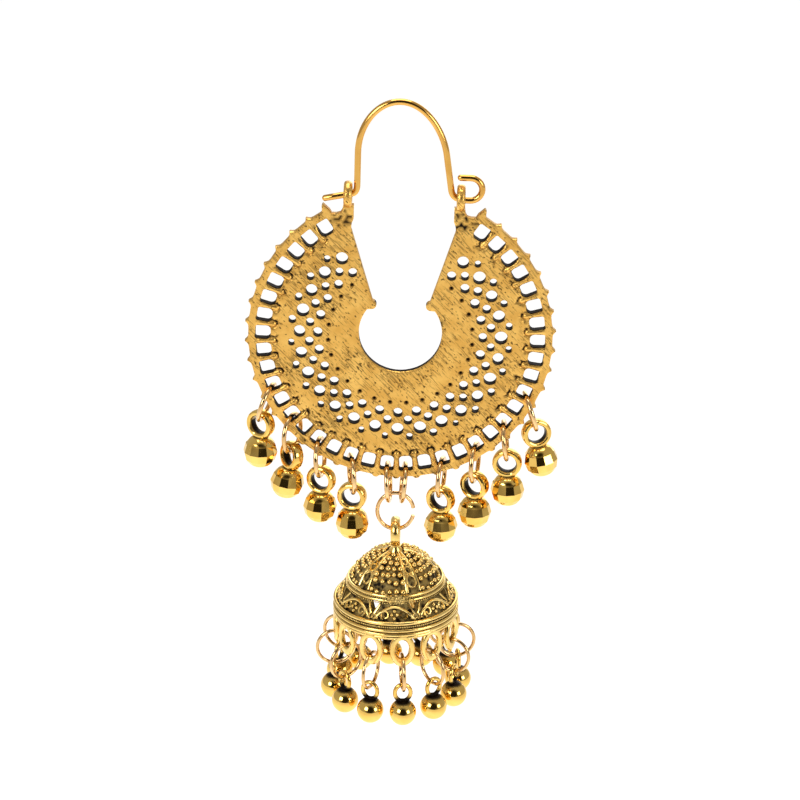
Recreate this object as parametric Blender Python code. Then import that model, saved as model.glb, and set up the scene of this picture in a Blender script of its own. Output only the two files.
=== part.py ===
"""Jhumka earring: pierced crescent plate on an ear wire, with a hanging bell and ball drops.

Metres, +Z up, front of the earring towards -Y. The origin is the seat of the ear wire: the
underside of its arch, on the centre plane of the plate. The plate lies in the XZ plane.
"""
import math

import bmesh
import bpy
from mathutils import Matrix, Vector

MM = 0.001

# Fits
SEAT_GAP = 0.2 * MM             # air between a link and what hangs on it
HANG_LEAN = math.radians(1.76)  # the plate hangs this much off plumb, the bell hangs plumb

# Ear wire
WIRE_DIAMETER = 0.85 * MM
ARCH_HEIGHT = 12.0 * MM         # from the eyelets' axis up to the seat
ARCH_SPRING = 5.6 * MM          # height above the eyelets' axis where the arch begins
ARCH_TOP_X = -0.8 * MM
LEFT_LEG_X = -6.05 * MM
RIGHT_LEG_TOP_X = 5.2 * MM
RIGHT_LEG_FOOT_X = 5.9 * MM
LEG_FOOT = 1.1 * MM             # height above the eyelets' axis where the legs begin to bend
TAIL_LENGTH = 3.3 * MM
TAIL_DROP = 0.7 * MM
CURL_RADIUS = 1.5 * MM
CURL_REACH = 1.15 * MM          # from the eyelet to the middle of the curl
CURL_SINK = 0.3 * MM            # lowest centre of the curl, below the eyelets' axis
CURL_TAIL = 1.7 * MM
WIRE_SIDES = 8

# Plate
EYELET_X = 7.2 * MM
EYELET_HEIGHT = 19.28 * MM      # eyelets' axis above the middle of the plate
EYELET_HOLE_RADIUS = 0.85 * MM
EYELET_WALL = 0.9 * MM
EYELET_THICKNESS = 1.1 * MM
PLATE_THICKNESS = 1.0 * MM
RIM_RADIUS = 19.82 * MM
BUMP_HEIGHT = 0.45 * MM
HORN_HEIGHT = 0.9 * MM
BUMP_HALF_ANGLE = math.radians(1.3)
OPENING_COUNT = 38
OPENING_PITCH = math.radians(7.883)
OPENING_INSET = 1.97 * MM       # from the rim in to the middle of the openings
OPENING_RISE = 0.04 * MM        # the ring of openings sits a little above the middle of the rim
OPENING_LENGTH = 2.0 * MM
OPENING_WIDTH = 1.78 * MM
OPENING_CORNER = 0.4 * MM
SPOKE_RIB_WIDTH = 0.62 * MM
SPOKE_RIB_HEIGHT = 0.2 * MM
SPOKE_RIB_REACH = 0.55 * MM     # past the inner edge of the openings
SPOKE_RIB_INSET = 0.72 * MM     # the outer end stays inside the rim
KEYHOLE_RADIUS = 5.4 * MM
KEYHOLE_HEIGHT = 0.65 * MM
NIB_RADIUS = 0.42 * MM
NIB_HALF_GAP = 3.2 * MM
FUNNEL_FOOT_X = 4.0 * MM
FUNNEL_FOOT_HEIGHT = 6.0 * MM
FUNNEL_TOP_X = 6.7 * MM
FUNNEL_TOP_HEIGHT = 14.8 * MM
NECK_INNER_X = 6.4 * MM
NECK_FOOT_HEIGHT = 16.1 * MM
NECK_OUTER_X = 8.0 * MM
TOP_EDGE_HEIGHT = 16.75 * MM
TOP_EDGE_END_X = 9.2 * MM
NECK_OVERLAP = 0.47 * MM        # how far a neck reaches into the wall of its eyelet
HOLE_PITCH = math.radians(13.05)
# Rows of large, small and medium round holes: radius of the row and diameter, then the counts
HOLE_ROWS = (
    (13.1 * MM, 1.6 * MM),
    (11.85 * MM, 1.1 * MM),
    (10.72 * MM, 1.2 * MM),
)
HOLE_COUNTS = (23, 22, 23)
HOLE_SIDES = (8, 6, 6)
HOLE_RISE = 0.25 * MM           # the rows of round holes sit a little above the middle of the rim

# Jump rings of the plate
LINK_WIRE = 0.62 * MM
LINK_SIDES = 5
LINK_SEGMENTS = 12
LINK_SEAT_DROP = 0.48 * MM      # wire centre below the middle of its opening
LINK_SEAT_SHIFT = 0.15 * MM     # and towards the rim at the outermost openings
BEAD_CLEARANCE = 1.88 * MM      # air between the bumps of the rim and a bead that hangs straight below

# Plate drops: ring bead and ball
BEAD_OUTER = 4.0 * MM
BEAD_HOLE = 2.4 * MM
BEAD_DEPTH = 1.5 * MM
BALL_DIAMETER = 4.55 * MM
BALL_FUSE = 0.38 * MM           # how deep the ball is soldered into the bead
# Plate drops: opening number, lean of the link, lean of the drop, turn of the bead, turn of the link
PLATE_DROPS = (
    (11, -16.5, -0.5, -33.0, -14.0),
    (13, 1.0, -8.0, -55.0, -22.0),
    (15, 5.0, -1.5, -22.0, -10.0),
    (17, 2.5, 1.5, -15.0, 10.0),
    (22, 0.0, 2.0, -28.0, -10.0),
    (24, 1.0, 2.0, -30.0, -12.0),
    (26, 8.0, 3.0, -6.0, -3.0),
    (28, 18.0, 12.0, 15.0, 8.0),
)

# Hanger links and the large open ring
HANGER_LEAN = 5.0               # degrees, the feet of the two hangers lean together
HANGER_TURN = 3.0
RING_HALF_WIDTH = 2.43 * MM      # of the wire centre
RING_HALF_HEIGHT = 2.65 * MM
RING_SHIFT = 0.07 * MM
RING_EASE = 0.02 * MM            # more air at the ring, whose wire has straight sides
RING_WIRE = 0.54 * MM
RING_SIDES = 6
RING_SEGMENTS = 18
RING_GAP = 0.5 * MM

# Bell
BAIL_HOLE_RADIUS = 0.85 * MM
BAIL_WALL = 1.25 * MM
BAIL_THICKNESS = 1.3 * MM
BAIL_TO_DOME = 2.75 * MM        # from the middle of the bail's hole down to the top of the dome
STEM_RADIUS = 0.65 * MM
STEM_FOOT_RADIUS = 0.95 * MM
DOME_RADIUS = 6.4 * MM
DOME_EDGE_RADIUS = 5.8 * MM
DOME_WALL = 0.8 * MM
CORD_RADIUS = 6.55 * MM
CORD_DROP = 4.1 * MM            # below the top of the dome
CORD_WIDTH = 0.7 * MM
BAND_FOOT_RADIUS = 7.9 * MM
BAND_FOOT_DROP = 6.75 * MM
RIM_DROP = 8.85 * MM            # lower edge of the mouldings, below the top of the dome
BELL_RADIUS = 8.5 * MM
BELL_SEGMENTS = 24
PANEL_COUNT = 5
PANEL_MIDDLE = math.radians(-10.0)
PANEL_HALF_ANGLE = math.radians(27.0)
RIB_RADIUS = 0.26 * MM
RIB_INNER = 2.2 * MM
RIB_OUTER = 5.7 * MM
EYE_HOLE = 0.75 * MM
EYE_HOLE_RADIUS = 4.9 * MM
ARCH_COUNT = 8
ARCH_SPAN = 0.86                # share of the pitch that one arch takes
BAND_ARCH_RISE = 1.55 * MM
BAND_ARCH_WIRE = 0.25 * MM
BAND_OPENING_WIDTH = 1.3 * MM
BAND_OPENING_HEIGHT = 1.1 * MM
LOBE_COUNT = 12
LOBE_PHASE = math.radians(7.5)
LOBE_WIDTH = 3.4 * MM
LOBE_HEIGHT = 4.75 * MM
LOBE_HOLE_WIDTH = 2.1 * MM
LOBE_HOLE_HEIGHT = 2.75 * MM
LOBE_THICKNESS = 0.8 * MM
LOBE_RADIUS = 8.05 * MM
LOBE_FUSE = 0.4 * MM
LOBE_SIDES = 8

# Jump rings and drops of the bell
BELL_LINK_OUTER = 5.4 * MM
BELL_LINK_WIRE = 0.5 * MM
BELL_LINK_LEAN = math.radians(6.0)
BELL_BALL_DIAMETER = 3.65 * MM
LOOP_WIDTH = 2.7 * MM
LOOP_WIRE = 0.52 * MM
LOOP_HEIGHT = 2.65 * MM         # from the top of the ball to the top of its loop
LOOP_FUSE = 0.35 * MM

# Sizes and heights that follow from the sizes above
NECK_TOP = EYELET_HEIGHT - EYELET_HOLE_RADIUS - EYELET_WALL + NECK_OVERLAP
OPENING_RADIUS = RIM_RADIUS - OPENING_INSET
SPOKE_RIB_INNER = OPENING_RADIUS - OPENING_LENGTH / 2 - SPOKE_RIB_REACH
SPOKE_RIB_OUTER = RIM_RADIUS - SPOKE_RIB_INSET
BEAD_WALL = (BEAD_OUTER - BEAD_HOLE) / 2
LINK_ROUND_EDGE = OPENING_INSET + BUMP_HEIGHT - LINK_SEAT_DROP + BEAD_CLEARANCE
LINK_OUTER = LINK_ROUND_EDGE + BEAD_WALL + SEAT_GAP + 1.5 * LINK_WIRE
EYELET_Z = -ARCH_HEIGHT
PLATE_Z = EYELET_Z - EYELET_HEIGHT
FRONT_Y = -PLATE_THICKNESS / 2


def make_material(name, color, roughness):
    """Metal with the part's own colour."""
    material = bpy.data.materials.new(name)
    material.use_nodes = True
    shader = material.node_tree.nodes["Principled BSDF"]
    shader.inputs["Base Color"].default_value = (*color, 1.0)
    shader.inputs["Metallic"].default_value = 1.0
    shader.inputs["Roughness"].default_value = roughness
    material.diffuse_color = (*color, 1.0)
    return material


def make_object(name, vertices, faces, material=None):
    """Mesh object with all its faces pointing out."""
    mesh = bpy.data.meshes.new(name)
    mesh.from_pydata([tuple(v) for v in vertices], [], faces)
    work = bmesh.new()
    work.from_mesh(mesh)
    bmesh.ops.recalc_face_normals(work, faces=work.faces)
    work.to_mesh(mesh)
    work.free()
    if material:
        mesh.materials.append(material)
    item = bpy.data.objects.new(name, mesh)
    bpy.context.scene.collection.objects.link(item)
    return item


def combine(target, tool, operation):
    """Join a tool to the target, or cut it away, and delete the tool."""
    modifier = target.modifiers.new(operation.lower(), "BOOLEAN")
    modifier.operation = operation
    modifier.object = tool
    modifier.material_mode = "INDEX"
    bpy.context.view_layer.update()
    graph = bpy.context.evaluated_depsgraph_get()
    mesh = bpy.data.meshes.new_from_object(target.evaluated_get(graph))
    target.modifiers.clear()
    target.data = mesh
    bpy.data.objects.remove(tool)


def shade(item, angle):
    """Smooth shading with the sharp edges kept."""
    item.data.shade_smooth()
    item.data.set_sharp_from_angle(angle=math.radians(angle))


def bezier(start, handle_a, handle_b, end, count):
    """Points of a cubic curve without its first point."""
    points = []
    for k in range(1, count + 1):
        t = k / count
        s = 1 - t
        points.append(start * s**3 + handle_a * (3 * s * s * t) + handle_b * (3 * s * t * t) + end * t**3)
    return points


def tube(points, radius, sides, closed=False):
    """Vertices and faces of a round tube along a path."""
    count = len(points)
    tangents = []
    for k in range(count):
        before = points[k - 1] if (closed or k > 0) else points[k]
        after = points[(k + 1) % count] if (closed or k < count - 1) else points[k]
        tangents.append((after - before).normalized())
    normal = tangents[0].orthogonal().normalized()
    planar = (points[count // 2] - points[0]).cross(points[count // 4] - points[0])
    if planar.length > 1e-12:
        normal = planar.normalized()
    vertices = []
    for k in range(count):
        normal = (normal - tangents[k] * normal.dot(tangents[k])).normalized()
        side = tangents[k].cross(normal)
        for j in range(sides):
            angle = math.tau * (j + 0.5) / sides
            vertices.append(points[k] + (normal * math.cos(angle) + side * math.sin(angle)) * radius)
    faces = []
    last = count if closed else count - 1
    for k in range(last):
        for j in range(sides):
            a = k * sides + j
            b = k * sides + (j + 1) % sides
            c = ((k + 1) % count) * sides + (j + 1) % sides
            d = ((k + 1) % count) * sides + j
            faces.append((a, b, c, d))
    if not closed:
        faces.append(tuple(range(sides)))
        faces.append(tuple(range((count - 1) * sides, count * sides)))
    return vertices, faces


def circle_points(radius, count, first=0.0, sweep=math.tau):
    """Points of a circle, or of an arc with both its ends, in the local YZ plane."""
    steps = count if sweep >= math.tau else count - 1
    angles = [first + sweep * k / steps for k in range(count)]
    return [Vector((0.0, radius * math.cos(a), radius * math.sin(a))) for a in angles]


def prism(outline, depth_from, depth_to, place):
    """Vertices and faces of an outline (pairs) pushed between two depths; place maps (u, v, depth)."""
    count = len(outline)
    vertices = [place(u, v, depth_from) for u, v in outline] + [place(u, v, depth_to) for u, v in outline]
    faces = [tuple(range(count)), tuple(range(count, 2 * count))]
    for k in range(count):
        n = (k + 1) % count
        faces.append((k, n, count + n, count + k))
    return vertices, faces


def gather(parts):
    """One list of vertices and faces from many separate bodies."""
    vertices = []
    faces = []
    for part_vertices, part_faces in parts:
        start = len(vertices)
        vertices.extend(part_vertices)
        faces.extend(tuple(index + start for index in face) for face in part_faces)
    return vertices, faces


def transformed(part, matrix):
    """A body moved by a matrix."""
    return [matrix @ Vector(v) for v in part[0]], part[1]


def ball(radius, segments, rings):
    """Vertices and faces of a ball with its poles up and down."""
    vertices = [Vector((0, 0, radius))]
    for r in range(1, rings):
        polar = math.pi * r / rings
        for s in range(segments):
            turn = math.tau * (s + 0.5) / segments
            flat = radius * math.sin(polar)
            vertices.append(Vector((flat * math.cos(turn), flat * math.sin(turn), radius * math.cos(polar))))
    vertices.append(Vector((0, 0, -radius)))
    last = len(vertices) - 1
    faces = []
    for s in range(segments):
        n = (s + 1) % segments
        faces.append((0, 1 + s, 1 + n))
        base = 1 + (rings - 2) * segments
        faces.append((last, base + n, base + s))
        for r in range(rings - 2):
            a = 1 + r * segments
            faces.append((a + s, a + segments + s, a + segments + n, a + n))
    return vertices, faces


def plate_point(u, v, depth):
    """Plate coordinates: u to the right, v up from the middle of the plate, depth along Y."""
    return Vector((u, depth, v + PLATE_Z))


def opening_angle(number):
    """Direction of a square opening, counted from the left horn."""
    return math.radians(270.0) + (number - (OPENING_COUNT + 1) / 2) * OPENING_PITCH


def opening_middle(number):
    """Middle of a square opening, in the XZ plane."""
    angle = opening_angle(number)
    height = OPENING_RADIUS * math.sin(angle) + OPENING_RISE + PLATE_Z
    return Vector((OPENING_RADIUS * math.cos(angle), 0.0, height))


def make_ear_wire(material):
    """Tail, left leg, arch, right leg and curl, bent from one wire."""
    radius = WIRE_DIAMETER / 2
    axis = EYELET_Z
    crown = radius
    spring = axis + ARCH_SPRING
    foot = axis + LEG_FOOT
    tail_end = Vector((-EYELET_X - TAIL_LENGTH, 0, axis - TAIL_DROP))
    tail_eyelet = Vector((-EYELET_X, 0, axis))
    left_foot = Vector((LEFT_LEG_X, 0, foot))
    left_spring = Vector((LEFT_LEG_X, 0, spring))
    top = Vector((ARCH_TOP_X, 0, crown))
    right_spring = Vector((RIGHT_LEG_TOP_X, 0, spring))
    right_foot = Vector((RIGHT_LEG_FOOT_X, 0, foot))
    curl_low = Vector((EYELET_X + CURL_REACH, 0, axis - CURL_SINK))
    curl_middle = curl_low + Vector((0, 0, CURL_RADIUS))
    curl_high = curl_middle + Vector((0, 0, CURL_RADIUS))
    slant = (right_spring - right_foot).normalized()
    rise = crown - spring
    points = [tail_end, tail_eyelet]
    bend_handle = Vector((LEFT_LEG_X - 0.1 * LEG_FOOT, 0, axis + 0.12 * LEG_FOOT))
    points += bezier(tail_eyelet, tail_eyelet.lerp(bend_handle, 0.6), bend_handle, left_foot, 4)
    points.append(left_spring)
    left_reach = top.x - left_spring.x
    right_reach = right_spring.x - top.x
    points += bezier(
        left_spring,
        left_spring + Vector((0, 0, 0.55 * rise)),
        top - Vector((0.55 * left_reach, 0, 0)),
        top,
        7,
    )
    points += bezier(
        top,
        top + Vector((0.5 * right_reach, 0, 0)),
        right_spring + slant * (0.5 * rise),
        right_spring,
        7,
    )
    points.append(right_foot)
    points += bezier(
        right_foot,
        right_foot - slant * LEG_FOOT,
        curl_low - Vector((CURL_REACH + 0.45 * LEG_FOOT, 0, 0)),
        curl_low,
        5,
    )
    for k in range(1, 7):
        angle = -math.pi / 2 + math.pi * k / 6
        points.append(curl_middle + Vector((CURL_RADIUS * math.cos(angle), 0, CURL_RADIUS * math.sin(angle))))
    points.append(curl_high - Vector((CURL_TAIL, 0, 0)))
    item = make_object("ear_wire", *tube(points, radius, WIRE_SIDES), material)
    shade(item, 50)


def plate_outline():
    """Outline of the plate: rim with bumps and horns, top edges, necks, funnel and keyhole."""
    right = []
    nib_height = KEYHOLE_HEIGHT + math.sqrt(KEYHOLE_RADIUS**2 - (NIB_HALF_GAP + NIB_RADIUS) ** 2)
    nib_middle = (NIB_HALF_GAP + NIB_RADIUS, nib_height)
    for degrees in (-150, -180, 150, 105, 60):
        angle = math.radians(degrees)
        right.append((nib_middle[0] + NIB_RADIUS * math.cos(angle), nib_middle[1] + NIB_RADIUS * math.sin(angle)))
    right.append((FUNNEL_FOOT_X, FUNNEL_FOOT_HEIGHT))
    right.append((FUNNEL_TOP_X, FUNNEL_TOP_HEIGHT))
    right.append((NECK_INNER_X, NECK_FOOT_HEIGHT))
    right.append((NECK_INNER_X, NECK_TOP))
    right.append((EYELET_X + EYELET_THICKNESS / 2 + 0.02 * MM, NECK_TOP))
    right.append((NECK_OUTER_X, TOP_EDGE_HEIGHT))
    right.append((TOP_EDGE_END_X, TOP_EDGE_HEIGHT))
    right = [(x, z) for x, z in right]
    horn_angle = math.radians(270.0) + OPENING_COUNT / 2 * OPENING_PITCH
    horn = []
    for turn, height in ((1.1 * BUMP_HALF_ANGLE, -0.2 * HORN_HEIGHT), (0.3 * BUMP_HALF_ANGLE, HORN_HEIGHT),
                         (-0.4 * BUMP_HALF_ANGLE, 0.9 * HORN_HEIGHT), (-1.2 * BUMP_HALF_ANGLE, 0.0)):
        radius = RIM_RADIUS + height
        horn.append((radius * math.cos(horn_angle + turn), radius * math.sin(horn_angle + turn)))
    right += horn
    rim = []
    for number in range(OPENING_COUNT - 1, 0, -1):
        middle = math.radians(270.0) + (number - OPENING_COUNT / 2) * OPENING_PITCH
        for turn, height in ((BUMP_HALF_ANGLE, 0.0), (0.0, BUMP_HEIGHT), (-BUMP_HALF_ANGLE, 0.0)):
            radius = RIM_RADIUS + height
            rim.append((radius * math.cos(middle + turn), radius * math.sin(middle + turn)))
    left = [(-x, z) for x, z in reversed(right)]
    keyhole = []
    start = math.atan2(nib_middle[1] - KEYHOLE_HEIGHT, -NIB_HALF_GAP) + math.radians(4.0)
    sweep = 2 * (math.radians(270.0) - start)
    for k in range(1, 20):
        angle = start + sweep * k / 20
        keyhole.append((KEYHOLE_RADIUS * math.cos(angle), KEYHOLE_HEIGHT + KEYHOLE_RADIUS * math.sin(angle)))
    return right + rim + left + keyhole


def square_opening(number):
    """Outline of one square opening with its inner corners cut, in plate coordinates."""
    angle = opening_angle(number)
    length = OPENING_LENGTH / 2
    width = OPENING_WIDTH / 2
    cut = OPENING_CORNER
    corners = ((length, width), (-length + cut, width), (-length, width - cut),
               (-length, -width + cut), (-length + cut, -width), (length, -width))
    outline = []
    for r, t in corners:
        radius = OPENING_RADIUS + r
        across = radius * math.cos(angle) - t * math.sin(angle)
        outline.append((across, radius * math.sin(angle) + t * math.cos(angle) + OPENING_RISE))
    return outline


def round_holes():
    """Outlines of all round holes, in plate coordinates."""
    outlines = []
    for (row_radius, diameter), count, sides in zip(HOLE_ROWS, HOLE_COUNTS, HOLE_SIDES):
        for k in range(count):
            angle = math.radians(270.0) + (k - (count - 1) / 2) * HOLE_PITCH
            u = row_radius * math.cos(angle)
            v = row_radius * math.sin(angle) + HOLE_RISE
            turns = [angle + math.tau * (j + 0.5) / sides for j in range(sides)]
            outlines.append([(u + diameter / 2 * math.cos(t), v + diameter / 2 * math.sin(t)) for t in turns])
    return outlines


def spoke_rib(number):
    """Raised rib on one spoke, a little narrower at its inner end, standing out of the front face."""
    angle = math.radians(270.0) + (number - OPENING_COUNT / 2) * OPENING_PITCH
    half = SPOKE_RIB_WIDTH / 2
    tip = 0.7 * half
    outline = ((SPOKE_RIB_OUTER, -half), (SPOKE_RIB_OUTER, half), (SPOKE_RIB_INNER, tip), (SPOKE_RIB_INNER, -tip))
    points = []
    for r, t in outline:
        across = r * math.cos(angle) - t * math.sin(angle)
        points.append((across, r * math.sin(angle) + t * math.cos(angle) + OPENING_RISE))
    return prism(points, FRONT_Y - SPOKE_RIB_HEIGHT, FRONT_Y / 2, plate_point)


def make_plate(material):
    """Crescent plate, cast in one with its ribs and eyelets, and pierced."""
    half = PLATE_THICKNESS / 2
    plate = make_object("plate", *prism(plate_outline(), -half, half, plate_point), material)
    ribs = gather([spoke_rib(number) for number in range(1, OPENING_COUNT)])
    combine(plate, make_object("ribs", *ribs), "UNION")
    centre_radius = EYELET_HOLE_RADIUS + EYELET_WALL / 2
    for side in (-1, 1):
        vertices, faces = tube(circle_points(centre_radius, 12), 1.0, 6, closed=True)
        eyelet = []
        for k, vertex in enumerate(vertices):
            middle = circle_points(centre_radius, 12)[k // 6]
            offset = vertex - middle
            outward = middle.normalized()
            reach = offset.dot(outward) * EYELET_WALL / 2
            across = offset.x * EYELET_THICKNESS / 2
            eyelet.append(middle + outward * reach + Vector((across + side * EYELET_X, 0, EYELET_Z)))
        combine(plate, make_object("eyelet", eyelet, faces), "UNION")
    outlines = [square_opening(number) for number in range(1, OPENING_COUNT + 1)] + round_holes()
    cutters = gather([prism(outline, -2 * half, 2 * half, plate_point) for outline in outlines])
    combine(plate, make_object("openings", *cutters), "DIFFERENCE")
    shade(plate, 35)


def link_body(outer, wire, segments, sides):
    """Closed jump ring in the local YZ plane."""
    return tube(circle_points((outer - wire) / 2, segments, first=math.pi / segments), wire / 2, sides, closed=True)


def drop_body():
    """Ring bead with its hole along Y, and a ball soldered under it; the origin is the bead's middle."""
    centre_radius = (BEAD_OUTER + BEAD_HOLE) / 4
    vertices, faces = tube(circle_points(centre_radius, 12), 1.0, 6, closed=True)
    bead = []
    turned = Matrix.Rotation(math.radians(90), 4, "Z")
    for k, vertex in enumerate(vertices):
        middle = circle_points(centre_radius, 12)[k // 6]
        offset = vertex - middle
        outward = middle.normalized()
        reach = offset.dot(outward) * BEAD_WALL / 2
        shaped = middle + outward * reach + Vector((offset.x * BEAD_DEPTH / 2, 0, 0))
        bead.append(turned @ shaped)
    drop = BEAD_OUTER / 2 + BALL_DIAMETER / 2 - BALL_FUSE
    sphere = transformed(ball(BALL_DIAMETER / 2, 12, 6), Matrix.Translation((0, 0, -drop)))
    return (bead, faces), sphere


def make_plate_drops(link_material, drop_material):
    """The eight jump rings of the plate, each with a ring bead and ball."""
    link_radius = (LINK_OUTER - LINK_WIRE) / 2
    for order, (number, link_lean, drop_lean, bead_turn, link_turn) in enumerate(PLATE_DROPS, start=1):
        top = opening_middle(number) - Vector((0, 0, LINK_SEAT_DROP))
        if order in (1, len(PLATE_DROPS)):
            top.x += math.copysign(LINK_SEAT_SHIFT, top.x)
        lean = math.radians(link_lean)
        down = Vector((math.sin(lean), 0, -math.cos(lean)))
        middle = top + down * link_radius
        place = Matrix.Translation(middle) @ Matrix.Rotation(-lean, 4, "Y")
        place = place @ Matrix.Rotation(math.radians(link_turn), 4, "Z")
        body = transformed(link_body(LINK_OUTER, LINK_WIRE, LINK_SEGMENTS, LINK_SIDES), place)
        shade(make_object(f"plate_link_{order}", *body, link_material), 60)
        lean = math.radians(drop_lean)
        hang = Vector((math.sin(lean), 0, -math.cos(lean)))
        bottom = top + down * (2 * link_radius)
        bead_middle = bottom + hang * (BEAD_HOLE / 2 - LINK_WIRE / 2 - SEAT_GAP)
        place = Matrix.Translation(bead_middle) @ Matrix.Rotation(-lean, 4, "Y")
        place = place @ Matrix.Rotation(math.radians(bead_turn), 4, "Z")
        bead, sphere = drop_body()
        item = make_object(f"plate_drop_{order}", *transformed(bead, place), drop_material)
        combine(item, make_object("ball", *transformed(sphere, place)), "UNION")
        shade(item, 25)


def hanger_foot():
    """Offset from the top to the bottom wire centre of the left hanger."""
    lean = math.radians(HANGER_LEAN)
    length = LINK_OUTER - LINK_WIRE
    return Vector((length * math.sin(lean), 0, -length * math.cos(lean)))


def hanger_top(side):
    """Centre of a hanger's top wire; side is -1 on the left and 1 on the right."""
    number = (OPENING_COUNT + 1) / 2 + side / 2
    return opening_middle(number) - Vector((0, 0, LINK_SEAT_DROP))


def ring_middle():
    """Middle of the large ring, which hangs in the feet of both hangers."""
    foot = hanger_top(-1) + hanger_foot()
    seat = foot.z + LINK_WIRE / 2 + SEAT_GAP + RING_WIRE / 2 + RING_EASE
    share = (abs(foot.x) + RING_SHIFT) / RING_HALF_WIDTH
    return Vector((RING_SHIFT, 0, seat - RING_HALF_HEIGHT * math.sqrt(1 - share**2)))


def bell_pivot():
    """Wire centre at the bottom of the large ring, where the bell hangs."""
    side = RING_HALF_WIDTH * math.sin(HANG_LEAN)
    return ring_middle() + Vector((side, 0, -RING_HALF_HEIGHT))


def hang_plumb(item):
    """Swing a finished piece of the bell about the large ring, from the plate's axis to plumb."""
    pivot = bell_pivot()
    swing = Matrix.Translation(pivot) @ Matrix.Rotation(-HANG_LEAN, 4, "Y")
    item.data.transform(swing @ Matrix.Translation(-pivot))


def make_hangers(link_material, ring_material):
    """The two links at the bottom of the plate and the open ring they carry."""
    for side, name in ((-1, "left"), (1, "right")):
        foot = hanger_foot()
        down = Vector((-side * foot.x, 0, foot.z))
        middle = hanger_top(side) + down / 2
        lean = math.radians(HANGER_LEAN) * side
        place = Matrix.Translation(middle) @ Matrix.Rotation(lean, 4, "Y")
        place = place @ Matrix.Rotation(math.radians(HANGER_TURN) * side, 4, "Z")
        body = transformed(link_body(LINK_OUTER, LINK_WIRE, LINK_SEGMENTS, LINK_SIDES), place)
        shade(make_object(f"hanger_link_{name}", *body, link_material), 60)
    half_gap = (RING_GAP / 2 + RING_WIRE / 2) / RING_HALF_WIDTH
    arc = circle_points(RING_HALF_WIDTH, RING_SEGMENTS, first=half_gap, sweep=math.tau - 2 * half_gap)
    arc = [Vector((p.x, p.y, p.z * RING_HALF_HEIGHT / RING_HALF_WIDTH)) for p in arc]
    place = Matrix.Translation(ring_middle()) @ Matrix.Rotation(math.radians(-90), 4, "Z")
    body = transformed(tube(arc, RING_WIRE / 2, RING_SIDES), place)
    shade(make_object("ring_link", *body, ring_material), 60)


def bail_middle():
    """Middle of the bail's hole, before the bell is swung plumb."""
    return bell_pivot() + Vector((0, 0, RING_WIRE / 2 + SEAT_GAP - BAIL_HOLE_RADIUS))


def dome_top():
    """Top of the dome, before the bell is swung plumb."""
    return bail_middle() - Vector((0, 0, BAIL_TO_DOME))


def dome_height(radius):
    """Height of the dome's outer skin at a radius, below its top."""
    return -(DOME_RADIUS - math.sqrt(DOME_RADIUS**2 - radius**2))


def band_radius(drop):
    """Outer radius of the pierced band at a distance below the top of the dome."""
    start = CORD_DROP + CORD_WIDTH / 2
    share = (drop - start) / (BAND_FOOT_DROP - start)
    return CORD_RADIUS + (BAND_FOOT_RADIUS - CORD_RADIUS) * (1 - (1 - share) ** 1.4)


def bell_profile():
    """Radius and height of the bell's skin, from the top pole out, down, in and up inside."""
    outer = [(0.0, 0.0)]
    for share in (0.3, 0.6, 0.82, 1.0):
        radius = DOME_EDGE_RADIUS * share
        outer.append((radius, dome_height(radius)))
    outer.append((CORD_RADIUS, -CORD_DROP + CORD_WIDTH * 0.35))
    outer.append((CORD_RADIUS - 0.12 * MM, -CORD_DROP))
    outer.append((CORD_RADIUS + 0.08 * MM, -CORD_DROP - CORD_WIDTH * 0.3))
    band_top = CORD_DROP + CORD_WIDTH / 2
    for share in (0.02, 0.5, 0.98):
        drop = band_top + share * (BAND_FOOT_DROP - band_top)
        outer.append((band_radius(drop) - 0.12 * MM, -drop))
    rim = RIM_DROP - BAND_FOOT_DROP
    for share, step in ((0.06, -0.2), (0.34, -0.15), (0.4, -0.32), (0.6, -0.25), (0.72, 0.05), (1.0, -0.05)):
        outer.append((BELL_RADIUS + step * MM, -BAND_FOOT_DROP - share * rim))
    inner = [
        (BELL_RADIUS - DOME_WALL, -RIM_DROP),
        (BAND_FOOT_RADIUS - DOME_WALL, -BAND_FOOT_DROP),
        (CORD_RADIUS - DOME_WALL, -band_top),
    ]
    for share in (0.6,):
        radius = DOME_EDGE_RADIUS * share
        inner.append((radius, dome_height(radius) - DOME_WALL))
    inner.append((0.0, -DOME_WALL))
    return outer + inner


def turned_body(profile, segments):
    """Closed turned body; the first and the last point of the profile lie on the axis."""
    vertices = [Vector((0, 0, profile[0][1]))]
    for radius, height in profile[1:-1]:
        for s in range(segments):
            angle = math.tau * s / segments
            vertices.append(Vector((radius * math.cos(angle), radius * math.sin(angle), height)))
    vertices.append(Vector((0, 0, profile[-1][1])))
    last = len(vertices) - 1
    rows = len(profile) - 2
    faces = []
    for s in range(segments):
        n = (s + 1) % segments
        faces.append((0, 1 + n, 1 + s))
        faces.append((last, 1 + (rows - 1) * segments + s, 1 + (rows - 1) * segments + n))
        for r in range(rows - 1):
            a = 1 + r * segments
            faces.append((a + s, a + n, a + segments + n, a + segments + s))
    return vertices, faces


def bell_direction(angle):
    """Horizontal direction at an angle from the front, positive to the right."""
    return Vector((math.sin(angle), -math.cos(angle), 0))


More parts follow.
